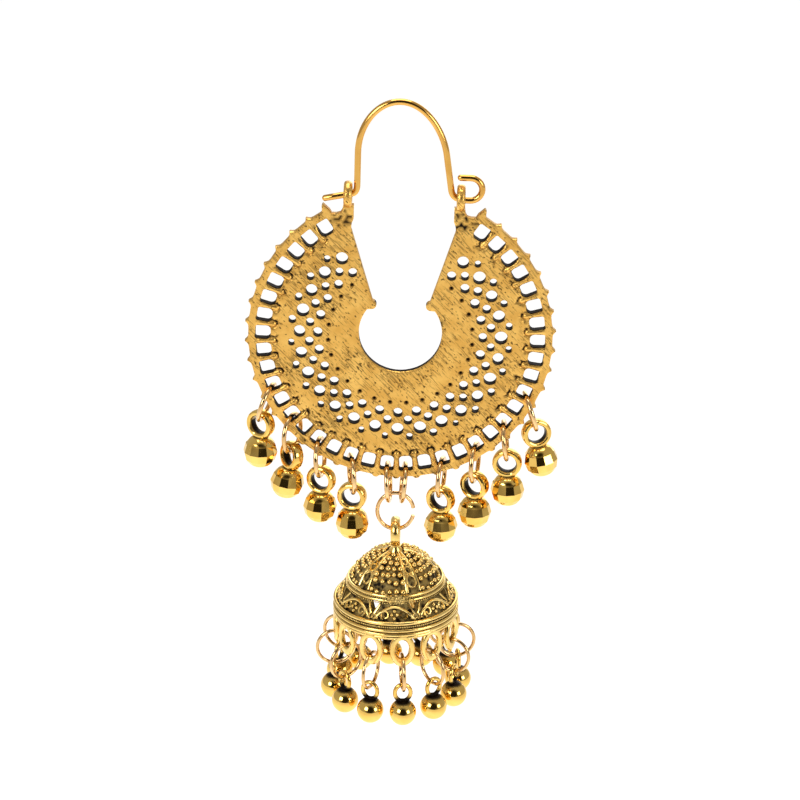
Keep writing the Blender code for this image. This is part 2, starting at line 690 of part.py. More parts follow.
def make_bell(material):
    """Dome, cords, pierced band, mouldings, lobes, stem and bail, cast in one."""
    top = dome_top()
    body = transformed(turned_body(bell_profile(), BELL_SEGMENTS), Matrix.Translation(top))
    bell = make_object("bell", *body, material)
    stem_top = bail_middle() - Vector((0, 0, BAIL_HOLE_RADIUS + 0.5 * BAIL_WALL))
    stem_profile = [(0.0, stem_top.z), (STEM_RADIUS, stem_top.z), (STEM_RADIUS, top.z + 0.6 * MM),
                    (STEM_FOOT_RADIUS, top.z - 0.15 * MM), (STEM_FOOT_RADIUS, top.z - 0.5 * DOME_WALL),
                    (0.0, top.z - 0.5 * DOME_WALL)]
    stem = transformed(turned_body(stem_profile, 8), Matrix.Translation((top.x, 0, 0)))
    combine(bell, make_object("stem", *stem), "UNION")
    centre_radius = BAIL_HOLE_RADIUS + BAIL_WALL / 2
    ring, faces = tube(circle_points(centre_radius, 14), 1.0, 6, closed=True)
    bail = []
    for k, vertex in enumerate(ring):
        middle = circle_points(centre_radius, 14)[k // 6]
        offset = vertex - middle
        outward = middle.normalized()
        reach = offset.dot(outward) * BAIL_WALL / 2
        bail.append(bail_middle() + middle + outward * reach + Vector((offset.x * BAIL_THICKNESS / 2, 0, 0)))
    combine(bell, make_object("bail", bail, faces), "UNION")
    ribs = []
    for k in range(PANEL_COUNT):
        for side in (-1, 1):
            direction = bell_direction(PANEL_MIDDLE + math.tau * k / PANEL_COUNT + side * PANEL_HALF_ANGLE)
            path = []
            for step in range(4):
                radius = RIB_INNER + (RIB_OUTER - RIB_INNER) * step / 3
                path.append(top + direction * radius + Vector((0, 0, dome_height(radius))))
            ribs.append(tube(path, RIB_RADIUS, 4))
    combine(bell, make_object("ribs", *gather(ribs)), "UNION")
    arches = []
    for k in range(ARCH_COUNT):
        middle = math.tau * k / ARCH_COUNT
        path = []
        for step in range(5):
            share = step / 4
            angle = middle + (share - 0.5) * ARCH_SPAN * math.tau / ARCH_COUNT
            drop = BAND_FOOT_DROP - BAND_ARCH_RISE * math.sin(math.pi * share)
            path.append(top + bell_direction(angle) * (band_radius(drop) - 0.05 * MM) - Vector((0, 0, drop)))
        arches.append(tube(path, BAND_ARCH_WIRE, 4))
    combine(bell, make_object("arches", *gather(arches)), "UNION")
    combine(bell, make_object("lobes", *gather([lobe(k, top) for k in range(LOBE_COUNT)])), "UNION")
    cutters = [band_opening(k, top) for k in range(ARCH_COUNT)] + [eye_hole(k, top) for k in range(PANEL_COUNT)]
    combine(bell, make_object("pierced", *gather(cutters)), "DIFFERENCE")
    hang_plumb(bell)
    shade(bell, 35)


def lobe_middle(number, top):
    """Middle of a lobe's hole."""
    direction = bell_direction(LOBE_PHASE + math.tau * number / LOBE_COUNT)
    drop = RIM_DROP - LOBE_FUSE + LOBE_HEIGHT / 2
    return top + direction * LOBE_RADIUS - Vector((0, 0, drop))


def lobe(number, top):
    """Oval ring under the rim, with its hole pointing outwards."""
    angle = LOBE_PHASE + math.tau * number / LOBE_COUNT
    direction = bell_direction(angle)
    across = Vector((0, 0, 1)).cross(direction)
    middle = lobe_middle(number, top)
    half = LOBE_THICKNESS / 2
    loops = []
    for width, height in ((LOBE_WIDTH, LOBE_HEIGHT), (LOBE_HOLE_WIDTH, LOBE_HOLE_HEIGHT)):
        for depth in (-half, half):
            loop = []
            for k in range(LOBE_SIDES):
                turn = math.tau * k / LOBE_SIDES
                point = across * (width / 2 * math.cos(turn)) + Vector((0, 0, height / 2 * math.sin(turn)))
                loop.append(middle + point + direction * depth)
            loops.append(loop)
    vertices = [v for loop in (loops[0], loops[1], loops[3], loops[2]) for v in loop]
    faces = []
    for ring in range(4):
        a = ring * LOBE_SIDES
        b = ((ring + 1) % 4) * LOBE_SIDES
        for k in range(LOBE_SIDES):
            n = (k + 1) % LOBE_SIDES
            faces.append((a + k, a + n, b + n, b + k))
    return vertices, faces


def band_opening(number, top):
    """Three-cornered cutter between two arches of the band."""
    angle = math.tau * (number + 0.5) / ARCH_COUNT
    direction = bell_direction(angle)
    across = Vector((0, 0, 1)).cross(direction)
    upper = CORD_DROP + CORD_WIDTH / 2 + 0.15 * MM
    outline = ((-BAND_OPENING_WIDTH / 2, -upper), (BAND_OPENING_WIDTH / 2, -upper), (0.0, -upper - BAND_OPENING_HEIGHT))
    near = CORD_RADIUS - 2 * DOME_WALL
    far = BELL_RADIUS + DOME_WALL
    return prism(outline, near, far, lambda u, v, depth: top + across * u + Vector((0, 0, v)) + direction * depth)


def eye_hole(number, top):
    """Round cutter through the dome in a narrow panel."""
    angle = PANEL_MIDDLE + math.tau * (number + 0.5) / PANEL_COUNT
    direction = bell_direction(angle)
    across = Vector((0, 0, 1)).cross(direction)
    slope = math.asin(EYE_HOLE_RADIUS / DOME_RADIUS)
    outward = direction * math.sin(slope) + Vector((0, 0, math.cos(slope)))
    upward = outward.cross(across)
    middle = top + direction * EYE_HOLE_RADIUS + Vector((0, 0, dome_height(EYE_HOLE_RADIUS)))
    outline = []
    for k in range(6):
        turn = math.tau * k / 6
        outline.append((EYE_HOLE / 2 * math.cos(turn), EYE_HOLE / 2 * math.sin(turn)))
    reach = 2 * DOME_WALL
    return prism(outline, -reach, reach, lambda u, v, depth: middle + across * u + upward * v + outward * depth)


def loop_path():
    """U-shaped path of the wire loop on a bell drop, from the ball's middle, in the local XZ plane."""
    half = (LOOP_WIDTH - LOOP_WIRE) / 2
    crown = BELL_BALL_DIAMETER / 2 + LOOP_HEIGHT - LOOP_WIRE / 2
    foot = math.sqrt((BELL_BALL_DIAMETER / 2) ** 2 - half**2) - LOOP_FUSE
    points = [Vector((-half, 0, foot))]
    for k in range(7):
        angle = math.pi - math.pi * k / 6
        points.append(Vector((half * math.cos(angle), 0, crown - half + half * math.sin(angle))))
    points.append(Vector((half, 0, foot)))
    return points


def make_bell_drops(link_material, drop_material):
    """The twelve jump rings in the lobes and their balls."""
    top = dome_top()
    link_radius = (BELL_LINK_OUTER - BELL_LINK_WIRE) / 2
    for number in range(LOBE_COUNT):
        angle = LOBE_PHASE + math.tau * number / LOBE_COUNT
        seat = lobe_middle(number, top)
        seat.z += -LOBE_HOLE_HEIGHT / 2 + SEAT_GAP + BELL_LINK_WIRE / 2
        turn = Matrix.Rotation(angle, 4, "Z")
        swing = Matrix.Rotation(-BELL_LINK_LEAN, 4, "X")
        place = Matrix.Translation(seat) @ turn @ swing @ Matrix.Translation((0, 0, -link_radius))
        body = link_body(BELL_LINK_OUTER, BELL_LINK_WIRE, LINK_SEGMENTS, LINK_SIDES)
        link = make_object(f"bell_link_{number + 1}", *transformed(body, place), link_material)
        hang_plumb(link)
        shade(link, 60)
        foot = place @ Vector((0, 0, -link_radius))
        crown = BELL_BALL_DIAMETER / 2 + LOOP_HEIGHT - LOOP_WIRE
        hang = foot + Vector((0, 0, BELL_LINK_WIRE / 2 + SEAT_GAP - crown))
        place = Matrix.Translation(hang) @ turn
        sphere = transformed(ball(BELL_BALL_DIAMETER / 2, 10, 5), place)
        loop = transformed(tube(loop_path(), LOOP_WIRE / 2, 5), place)
        item = make_object(f"bell_drop_{number + 1}", *sphere, drop_material)
        combine(item, make_object("loop", *loop), "UNION")
        hang_plumb(item)
        shade(item, 40)


def main():
    """Clear the scene and build every piece."""
    for item in list(bpy.data.objects):
        bpy.data.objects.remove(item)
    antique = make_material("antique_gold", (0.72, 0.46, 0.13), 0.34)
    polished = make_material("polished_gold", (0.86, 0.58, 0.20), 0.14)
    pale = make_material("pale_gold", (0.90, 0.66, 0.38), 0.2)
    make_ear_wire(polished)
    make_plate(antique)
    make_plate_drops(pale, polished)
    make_hangers(pale, pale)
    make_bell(antique)
    make_bell_drops(pale, polished)


main()
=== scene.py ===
"""Looks of the jhumka earring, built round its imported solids. Metres, +Z up, front towards -Y."""
import random
from math import asin, atan2, ceil, copysign, cos, hypot, pi, radians, sin, sqrt, tau

import bpy
import numpy as np
from mathutils import Matrix, Vector, kdtree
from mathutils import noise as vector_noise
from mathutils.geometry import delaunay_2d_cdt


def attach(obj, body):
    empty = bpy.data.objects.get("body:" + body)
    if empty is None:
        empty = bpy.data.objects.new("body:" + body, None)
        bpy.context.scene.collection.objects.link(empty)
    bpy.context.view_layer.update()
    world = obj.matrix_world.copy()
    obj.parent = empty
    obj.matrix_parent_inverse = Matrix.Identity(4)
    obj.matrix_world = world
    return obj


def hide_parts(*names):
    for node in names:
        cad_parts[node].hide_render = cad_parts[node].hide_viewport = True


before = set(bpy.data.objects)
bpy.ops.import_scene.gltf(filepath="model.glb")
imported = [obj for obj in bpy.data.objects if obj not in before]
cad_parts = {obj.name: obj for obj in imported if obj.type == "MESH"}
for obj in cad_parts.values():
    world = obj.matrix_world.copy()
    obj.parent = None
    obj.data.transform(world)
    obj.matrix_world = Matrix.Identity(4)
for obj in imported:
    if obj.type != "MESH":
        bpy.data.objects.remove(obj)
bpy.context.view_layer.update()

MM = 0.001
random.seed(11)

# Sizes of the solids, repeated here because the looks are built on them
SEAT_GAP = 0.2 * MM
HANG_LEAN = radians(1.76)
WIRE_RADIUS = 0.425 * MM
EYELET_X = 7.2 * MM
EYELET_Z = -12.0 * MM
EYELET_HOLE_RADIUS = 0.85 * MM
EYELET_WALL = 0.9 * MM
EYELET_DEPTH = 1.1 * MM
PLATE_Z = -31.28 * MM
HALF_PLATE = 0.5 * MM
RIM_RADIUS = 19.82 * MM
OPENING_COUNT = 38
OPENING_PITCH = radians(7.883)
OPENING_RADIUS = 17.85 * MM
OPENING_RISE = 0.04 * MM
KEYHOLE_RADIUS = 5.4 * MM
KEYHOLE_HEIGHT = 0.65 * MM
NIB_RADIUS = 0.62 * MM
NIB_HALF_GAP = 3.2 * MM
HOLE_PITCH = radians(13.05)
HOLE_RISE = 0.25 * MM
LINK_OUTER = 5.75 * MM
LINK_WIRE = 0.62 * MM
LINK_SEAT_DROP = 0.48 * MM
LINK_SEAT_SHIFT = 0.15 * MM
BEAD_OUTER = 4.0 * MM
BEAD_HOLE = 2.4 * MM
BEAD_DEPTH = 1.5 * MM
BALL_DIAMETER = 4.55 * MM
BALL_FUSE = 0.38 * MM
# Opening number, lean of the link, lean of the drop, turn of the bead, turn of the link
PLATE_DROPS = (
    (11, -16.5, -0.5, -33.0, -14.0),
    (13, 1.0, -8.0, -55.0, -22.0),
    (15, 5.0, -1.5, -22.0, -10.0),
    (17, 2.5, 1.5, -15.0, 10.0),
    (22, 0.0, 2.0, -28.0, -10.0),
    (24, 1.0, 2.0, -30.0, -12.0),
    (26, 8.0, 3.0, -6.0, -3.0),
    (28, 18.0, 12.0, 15.0, 8.0),
)
HANGER_LEAN = radians(5.0)
HANGER_TURN = radians(3.0)
RING_HALF_WIDTH = 2.43 * MM
RING_HALF_HEIGHT = 2.65 * MM
RING_SHIFT = 0.07 * MM
RING_WIRE = 0.54 * MM
RING_GAP = 0.5 * MM
RING_EASE = 0.02 * MM
BAIL_HOLE_RADIUS = 0.85 * MM
BAIL_WALL = 1.25 * MM
BAIL_THICKNESS = 1.3 * MM
BAIL_TO_DOME = 2.75 * MM
DOME_RADIUS = 6.4 * MM
DOME_EDGE_RADIUS = 5.8 * MM
DOME_WALL = 0.8 * MM
CORD_RADIUS = 6.55 * MM
CORD_DROP = 4.1 * MM
CORD_WIDTH = 0.7 * MM
FOOT_RADIUS = 7.9 * MM
FOOT_DROP = 6.75 * MM
RIM_DROP = 8.85 * MM
BELL_RADIUS = 8.5 * MM
PANEL_COUNT = 5
PANEL_MIDDLE = radians(-10.0)
PANEL_HALF_ANGLE = radians(27.0)
ARCH_COUNT = 8
LOBE_COUNT = 12
LOBE_PHASE = radians(7.5)
LOBE_WIDTH = 3.4 * MM
LOBE_HEIGHT = 4.75 * MM
LOBE_HOLE_WIDTH = 1.8 * MM
LOBE_HOLE_HEIGHT = 2.75 * MM
LOBE_RADIUS = 8.05 * MM
LOBE_FUSE = 0.4 * MM
BELL_LINK_OUTER = 5.4 * MM
BELL_LINK_WIRE = 0.5 * MM
BELL_LINK_LEAN = radians(6.0)
BELL_BALL = 1.825 * MM
LOOP_WIDTH = 2.7 * MM
LOOP_WIRE = 0.58 * MM
LOOP_HEIGHT = 2.65 * MM
# Wire of the solids' loops, which sets how high the drops hang
SOLID_LOOP_WIRE = 0.52 * MM


# Meshes

def polar(radius, angle):
    """The two coordinates of a point at a radius and an angle."""
    return radius * cos(angle), radius * sin(angle)


def squared(value, power):
    """A sine or cosine raised to a power with its sign kept, which squares a round section."""
    return copysign(abs(value) ** power, value)


def row_faces(rows, sides, closed=True):
    """Four-sided faces between neighbouring rings of points."""
    faces = []
    for k in range(rows if closed else rows - 1):
        m = (k + 1) % rows
        for j in range(sides):
            n = (j + 1) % sides
            faces.append((k * sides + j, m * sides + j, m * sides + n, k * sides + n))
    return faces


def joined(bodies):
    """Several bodies as one."""
    vertices, faces = [], []
    for part_vertices, part_faces in bodies:
        start = len(vertices)
        vertices.extend(part_vertices)
        faces.extend(tuple(i + start for i in face) for face in part_faces)
    return vertices, faces


def mesh_of(name, vertices, faces):
    """A mesh from points and faces."""
    mesh = bpy.data.meshes.new(name)
    mesh.from_pydata([tuple(v) for v in vertices], [], faces)
    return mesh


def linked(name, data):
    """An object of this data, in the scene."""
    item = bpy.data.objects.new(name, data)
    bpy.context.scene.collection.objects.link(item)
    return item


def bezier(start, handle_a, handle_b, end, count):
    """Points of a cubic curve without its first point."""
    points = []
    for k in range(1, count + 1):
        t = k / count
        s = 1 - t
        points.append(start * s**3 + handle_a * (3 * s * s * t) + handle_b * (3 * s * t * t) + end * t**3)
    return points


def tube(points, radius, sides, closed=False):
    """Round tube along a path; the radius may be one value or one for each point."""
    count = len(points)
    radii = radius if isinstance(radius, list) else [radius] * count
    tangents = []
    for k in range(count):
        before = points[k - 1] if (closed or k > 0) else points[k]
        after = points[(k + 1) % count] if (closed or k < count - 1) else points[k]
        tangents.append((after - before).normalized())
    normal = tangents[0].orthogonal().normalized()
    planar = (points[count // 2] - points[0]).cross(points[count // 4] - points[0])
    if planar.length > 1e-12:
        normal = planar.normalized()
    vertices = []
    for k in range(count):
        normal = (normal - tangents[k] * normal.dot(tangents[k])).normalized()
        side = tangents[k].cross(normal)
        for j in range(sides):
            angle = tau * (j + 0.5) / sides
            vertices.append(points[k] + (normal * cos(angle) + side * sin(angle)) * radii[k])
    faces = row_faces(count, sides, closed)
    if not closed:
        faces.append(tuple(range(sides)))
        faces.append(tuple(reversed(range((count - 1) * sides, count * sides))))
    return vertices, faces


def wire(points, radius, sides):
    """Tube with rounded ends."""
    ends = []
    for end, inner in ((points[0], points[1]), (points[-1], points[-2])):
        back = (inner - end).normalized()
        ends.append([(end + back * (radius * (1 - cos(a))), max(radius * sin(a), radius * 0.05))
                     for a in (0.0, 0.45, 0.9, 1.3)])
    keep = [p for p in points[1:-1]
            if (p - points[0]).length > 1.1 * radius and (p - points[-1]).length > 1.1 * radius]
    whole = ends[0] + [(p, radius) for p in keep] + ends[1][::-1]
    return tube([p for p, _ in whole], [r for _, r in whole], sides)


def circle(radius, count, first=0.0, sweep=tau):
    """Points of a circle, or of an arc with both its ends, in the local YZ plane."""
    steps = count if sweep >= tau else count - 1
    return [Vector((0.0, *polar(radius, first + sweep * k / steps))) for k in range(count)]


def flat_ring(hole_radius, wall, depth, segments, sides, power=2.6):
    """Ring with its axis along X and a rounded, slightly square section."""
    middle = hole_radius + wall / 2
    vertices = []
    for k in range(segments):
        outward = Vector((0.0, *polar(1.0, tau * k / segments)))
        for j in range(sides):
            t = tau * (j + 0.5) / sides
            reach = squared(cos(t), 2 / power) * wall / 2
            across = squared(sin(t), 2 / power) * depth / 2
            vertices.append(outward * (middle + reach) + Vector((across, 0, 0)))
    return vertices, row_faces(segments, sides)


def turned(profile, segments):
    """Closed turned body; the first and the last point of the profile lie on the axis."""
    vertices = [Vector((0, 0, profile[0][1]))]
    for radius, height in profile[1:-1]:
        vertices += [Vector((*polar(radius, tau * s / segments), height)) for s in range(segments)]
    vertices.append(Vector((0, 0, profile[-1][1])))
    last = len(vertices) - 1
    rows = len(profile) - 2
    faces = []
    for s in range(segments):
        n = (s + 1) % segments
        faces.append((0, 1 + s, 1 + n))
        faces.append((last, 1 + (rows - 1) * segments + n, 1 + (rows - 1) * segments + s))
        for r in range(rows - 1):
            a = 1 + r * segments
            faces.append((a + s, a + segments + s, a + segments + n, a + n))
    return vertices, faces


def ball(radius, segments, rings):
    """Round ball with its poles up and down."""
    profile = [(radius * sin(pi * k / rings), radius * cos(pi * k / rings))
               for k in range(rings + 1)]
    return turned(profile, segments)


FACETS = 12
FACET_BAND = radians(30.0)
FACETS_FADE = (radians(28.0), radians(52.0))


def faceted_ball(radius):
    """Ball with shallow cut facets round its middle, smooth towards its poles."""
    vertices, faces = ball(radius, FACETS * 4, 36)
    pitch = tau / FACETS
    shaped = []
    for v in vertices:
        height = asin(max(-1.0, min(1.0, v.z / radius)))
        off = (atan2(v.y, v.x) % tau % pitch) - pitch / 2
        up = (height % FACET_BAND) - FACET_BAND / 2
        cut = (cos(pitch / 2) / cos(off)) * (cos(FACET_BAND / 2) / cos(up))
        share = 1 - smooth_step(*FACETS_FADE, abs(height))
        shaped.append(v * (1 + (cut - 1) * share))
    return shaped, faces


def moved(part, matrix):
    """A body moved by a matrix."""
    return [matrix @ Vector(v) for v in part[0]], part[1]


def smooth_step(low, high, value):
    """0 below low, 1 above high and smooth between them."""
    t = max(0.0, min(1.0, (value - low) / (high - low)))
    return t * t * (3 - 2 * t)


def put(name, body, parts, material, node, sharp=40.0):
    """One piece from (body, darkening) pairs; the darkening, patina and painted shade together, is one
    value or one for each vertex.
    """
    vertices, faces = joined([part for part, _ in parts])
    patina_and_shade = []
    for part, value in parts:
        patina_and_shade.extend(value if isinstance(value, list) else [value] * len(part[0]))
    mesh = mesh_of(name, vertices, faces)
    mesh.validate()
    layer = mesh.attributes.new("patina_and_shade", "FLOAT", "POINT")
    layer.data.foreach_set("value", np.array(patina_and_shade[:len(mesh.vertices)], np.float32))
    mesh.materials.append(material)
    mesh.shade_smooth()
    mesh.set_sharp_from_angle(angle=radians(sharp))
    item = linked(name, mesh)
    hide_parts(node)
    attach(item, body)


# Materials

def feed(socket, value):
    """Gives an input a value, or a link from a socket."""
    if hasattr(value, "is_linked"):
        socket.id_data.links.new(socket, value)
    else:
        socket.default_value = value


def fill(node, **inputs):
    """Feeds a node's inputs by name, with _ for a space."""
    for key, value in inputs.items():
        feed(node.inputs[key.replace("_", " ")], value)
    return node


def add_node(tree, kind, **inputs):
    """A new shader node with its inputs fed."""
    return fill(tree.nodes.new("ShaderNode" + kind), **inputs)


def noise(tree, coordinate, scale, detail=3.0, rough=0.6, rotate=(0, 0, 0), stretch=(1, 1, 1)):
    """Noise over the piece, with the coordinates turned and stretched."""
    turn = add_node(tree, "Mapping", Vector=coordinate, Rotation=rotate)
    place = add_node(tree, "Mapping", Vector=turn.outputs["Vector"], Scale=stretch)
    made = add_node(tree, "TexNoise", Vector=place.outputs["Vector"],
                    Scale=scale, Detail=detail, Roughness=rough)
    return made.outputs["Fac"]


def ramp(tree, value, low, high):
    """0 below low and 1 above high."""
    made = add_node(tree, "MapRange", Value=value, From_Min=low, From_Max=high)
    made.clamp = True
    return made.outputs["Result"]


def mix_color(tree, factor, first, second):
    """Mix of two colours or sockets."""
    made = add_node(tree, "Mix")
    made.data_type = "RGBA"
    for index, value in ((0, factor), (6, first), (7, second)):
        feed(made.inputs[index], (*value, 1.0) if isinstance(value, tuple) else value)
    return made.outputs[2]


NEAR_BLACK = (0.007, 0.003, 0.001)
STREAK_TURN = (0, radians(-45), 0)


def gold(name, light, deep, roughness, spread, grain, crevice_shade_reach=0.0, streaks=False, mottled=0.0):
    """Gold with uneven tone, a dark patina with painted shade from the mesh, crevices darkened by ambient
    occlusion as patina and painted shade, and a fine grain.
    """
    material = bpy.data.materials.new(name)
    material.use_nodes = True
    tree = material.node_tree
    shader = tree.nodes["Principled BSDF"]
    place = add_node(tree, "TexCoord").outputs["Object"]

    def calc(operation, *values, clamp=False):
        """A math node; each value is a socket or a number."""
        made = add_node(tree, "Math")
        made.operation = operation
        made.use_clamp = clamp
        for socket, value in zip(made.inputs, values):
            feed(socket, value)
        return made.outputs[0]

    def shifted(value, other, amount):
        """A value moved up and down by another one's distance from its middle."""
        return calc("ADD", value, calc("MULTIPLY", calc("SUBTRACT", other, 0.5), amount))

    tone = noise(tree, place, 420.0, 4.0)
    color = mix_color(tree, ramp(tree, tone, 0.35, 0.65), light, deep)
    # The mesh attribute darkens the gold with patina and painted shade.
    patina_shade_attribute = add_node(tree, "Attribute")
    patina_shade_attribute.attribute_name = "patina_and_shade"
    cover = patina_shade_attribute.outputs["Fac"]
    if mottled:
        spots = ramp(tree, noise(tree, place, 1100.0, 3.0), 0.42, 0.6)
        cover = calc("MULTIPLY", cover, calc("MULTIPLY_ADD", spots, mottled, 1.0 - mottled))
    # Painted shade: crevices found by ambient occlusion are darkened, as patina and as the shade that
    # falls in them.
    if crevice_shade_reach:
        shade = add_node(tree, "AmbientOcclusion", Distance=crevice_shade_reach)
        shade.samples = 6
        crevice_shade = calc("SUBTRACT", 1.0, shade.outputs["AO"])
        crevice_shade = shifted(crevice_shade, noise(tree, place, 1500.0, 3.0), 0.35)
        cover = calc("MAXIMUM", cover, ramp(tree, crevice_shade, 0.38, 0.72))
    if streaks:
        dash = noise(tree, place, 3300.0, 1.0, 0.5, STREAK_TURN, (0.2, 1.0, 2.2))
        fleck = noise(tree, place, 3400.0, 1.5, 0.5, STREAK_TURN, (0.6, 1.0, 1.2))
        area = noise(tree, place, 150.0, 2.0)
        dash = shifted(dash, area, 0.5)
        fleck = shifted(fleck, area, 0.3)
        lines = calc("MULTIPLY", ramp(tree, dash, 0.55, 0.65), 0.5)
        spots = calc("MULTIPLY", ramp(tree, fleck, 0.6, 0.7), 0.85)
        cover = calc("MAXIMUM", cover, calc("MAXIMUM", lines, spots))
    rough = calc("ADD", calc("MULTIPLY", calc("SUBTRACT", tone, 0.5), spread), roughness)
    height = noise(tree, place, 2200.0, 3.0)
    if streaks:
        height = calc("SUBTRACT", height, calc("MULTIPLY", cover, 0.9))
    bump = add_node(tree, "Bump", Strength=grain, Distance=0.06 * MM, Height=height)
    fill(shader, Base_Color=mix_color(tree, cover, color, NEAR_BLACK), Specular_IOR_Level=0.06,
         Metallic=calc("SUBTRACT", 1.0, calc("MULTIPLY", cover, 0.95), clamp=True),
         Roughness=calc("ADD", rough, calc("MULTIPLY", cover, 0.3), clamp=True),
         Normal=bump.outputs["Normal"])
    return material


plate_gold = gold("antique_plate", (0.87, 0.52, 0.13), (0.73, 0.40, 0.085),
                  roughness=0.33, spread=0.25, grain=0.35, crevice_shade_reach=0.35 * MM, streaks=True)
bell_gold = gold("antique_bell", (0.98, 0.71, 0.26), (0.80, 0.53, 0.15),
                 roughness=0.2, spread=0.22, grain=0.3, crevice_shade_reach=0.5 * MM, mottled=0.35)
ball_gold = gold("polished_balls", (0.90, 0.60, 0.16), (0.82, 0.50, 0.11),
                 roughness=0.09, spread=0.06, grain=0.03, crevice_shade_reach=0.4 * MM)
wire_gold = gold("polished_wire", (0.76, 0.43, 0.105), (0.68, 0.36, 0.08),
                 roughness=0.12, spread=0.1, grain=0.05)
link_gold = gold("pale_links", (0.80, 0.54, 0.26), (0.70, 0.43, 0.17),
                 roughness=0.13, spread=0.1, grain=0.04)


# Ear wire

SPRING = EYELET_Z + 5.6 * MM
FOOT = EYELET_Z + 1.1 * MM
TAIL_END = Vector((-EYELET_X - 3.3 * MM, 0, EYELET_Z - 0.7 * MM))
TAIL_EYELET = Vector((-EYELET_X, 0, EYELET_Z))
TAIL_BEND = Vector((-6.16 * MM, 0, EYELET_Z + 0.132 * MM))
LEFT_FOOT = Vector((-6.05 * MM, 0, FOOT))
LEFT_SPRING = Vector((-6.05 * MM, 0, SPRING))
ARCH_TOP = Vector((-0.8 * MM, 0, WIRE_RADIUS))
RIGHT_SPRING = Vector((5.2 * MM, 0, SPRING))
RIGHT_FOOT = Vector((5.9 * MM, 0, FOOT))
CURL_LOW = Vector((EYELET_X + 1.15 * MM, 0, EYELET_Z - 0.3 * MM))
CURL_RADIUS = 1.5 * MM
CURL_END = 1.7 * MM


def ear_wire_path():
    """Tail, left leg, arch, right leg and curl."""
    slant = (RIGHT_SPRING - RIGHT_FOOT).normalized()
    rise = ARCH_TOP.z - SPRING
    points = [TAIL_END, TAIL_EYELET.lerp(TAIL_END, 0.5), TAIL_EYELET]
    points += bezier(TAIL_EYELET, TAIL_EYELET.lerp(TAIL_BEND, 0.6), TAIL_BEND, LEFT_FOOT, 10)
    points += [LEFT_FOOT.lerp(LEFT_SPRING, 0.5), LEFT_SPRING]
    points += bezier(LEFT_SPRING, LEFT_SPRING + Vector((0, 0, 0.55 * rise)),
                     ARCH_TOP - Vector((0.55 * (ARCH_TOP.x - LEFT_SPRING.x), 0, 0)), ARCH_TOP, 20)
    points += bezier(ARCH_TOP, ARCH_TOP + Vector((0.5 * (RIGHT_SPRING.x - ARCH_TOP.x), 0, 0)),
                     RIGHT_SPRING + slant * (0.5 * rise), RIGHT_SPRING, 20)
    points += [RIGHT_SPRING.lerp(RIGHT_FOOT, 0.5), RIGHT_FOOT]
    points += bezier(RIGHT_FOOT, RIGHT_FOOT - slant * 1.1 * MM,
                     CURL_LOW - Vector((1.645 * MM, 0, 0)), CURL_LOW, 12)
    middle = CURL_LOW + Vector((0, 0, CURL_RADIUS))
    for k in range(1, 17):
        across, up = polar(CURL_RADIUS, -pi / 2 + pi * k / 16)
        points.append(middle + Vector((across, 0, up)))
    high = middle + Vector((0, 0, CURL_RADIUS))
    points += [high - Vector((CURL_END / 2, 0, 0)), high - Vector((CURL_END, 0, 0))]
    return points


ear_wire = wire(ear_wire_path(), WIRE_RADIUS, 20)
put("ear_wire_bent", "ear_wire", [(ear_wire, 0.0)], wire_gold, "ear_wire")


# Plate

# Values here are millimetres, and the plate is scaled at its end
IN_MM = 1000.0
DOWN = radians(270.0)
FUNNEL = ((4.0, 6.0), (6.7, 14.8), (6.62, 15.5), (6.4, 16.1), (6.4, 18.0), (7.77, 18.0),
          (7.86, 17.3), (8.1, 16.9), (8.6, 16.75), (9.2, 16.75))
# Horn and half bumps: turn in units of BUMP_TURN and height over the rim
BUMP_TURN = radians(1.3)
HORN = ((1.1, -0.18), (0.3, 0.9), (-0.1, 0.88), (-0.5, 0.7), (-1.2, 0.05), (-1.7, -0.02))
ROUND_BUMP = ((1.7, 0.0), (1.15, 0.03), (0.6, 0.27), (0.3, 0.32))
SHARP_BUMP = ((1.7, -0.03), (1.0, 0.04), (0.45, 0.25), (0.12, 0.43))
# Outward and sideways reach of an opening's corners, and their rounding
OPENING_CORNERS = ((0.98, 0.87, 0.26), (-1.0, 0.87, 0.58), (-1.0, -0.87, 0.58), (0.98, -0.87, 0.26))
# Row radius, diameter, number of holes and sides of a hole
HOLE_ROWS = ((13.1, 1.6, 23, 20), (11.85, 1.1, 22, 16), (10.72, 1.2, 23, 16), (14.2, 0.92, 22, 14))
DIMPLE_COUNT = 22
DIMPLE_ROW = 9.4
DIMPLE_RADIUS = 0.34
DIMPLE_DEPTH = 0.22
TONGUE_END = 16.55
TONGUE_TIP = 19.2
TONGUE_HALF = 0.34
TONGUE_HEIGHT = 0.16
CRESCENT_DEPTH = 0.13
RIM_ROUNDING = 0.15
HOLE_ROUNDING = 0.05
NECK_SIDE = 6.6
NECK_FOOT = 14.2
SAMPLE_STEP = 0.06
GRID_STEP = 0.46
THIN_CELL = 0.07


def opening_angle(number):
    """Direction of a square opening, counted from the left horn."""
    return DOWN + (number - (OPENING_COUNT + 1) / 2) * OPENING_PITCH


def spoke_angle(number):
    """Direction of the spoke after an opening."""
    return DOWN + (number - OPENING_COUNT / 2) * OPENING_PITCH


def opening_middle(number):
    """Middle of a square opening, in the XZ plane."""
    angle = opening_angle(number)
    height = OPENING_RADIUS * sin(angle) + OPENING_RISE + PLATE_Z
    return Vector((OPENING_RADIUS * cos(angle), 0.0, height))


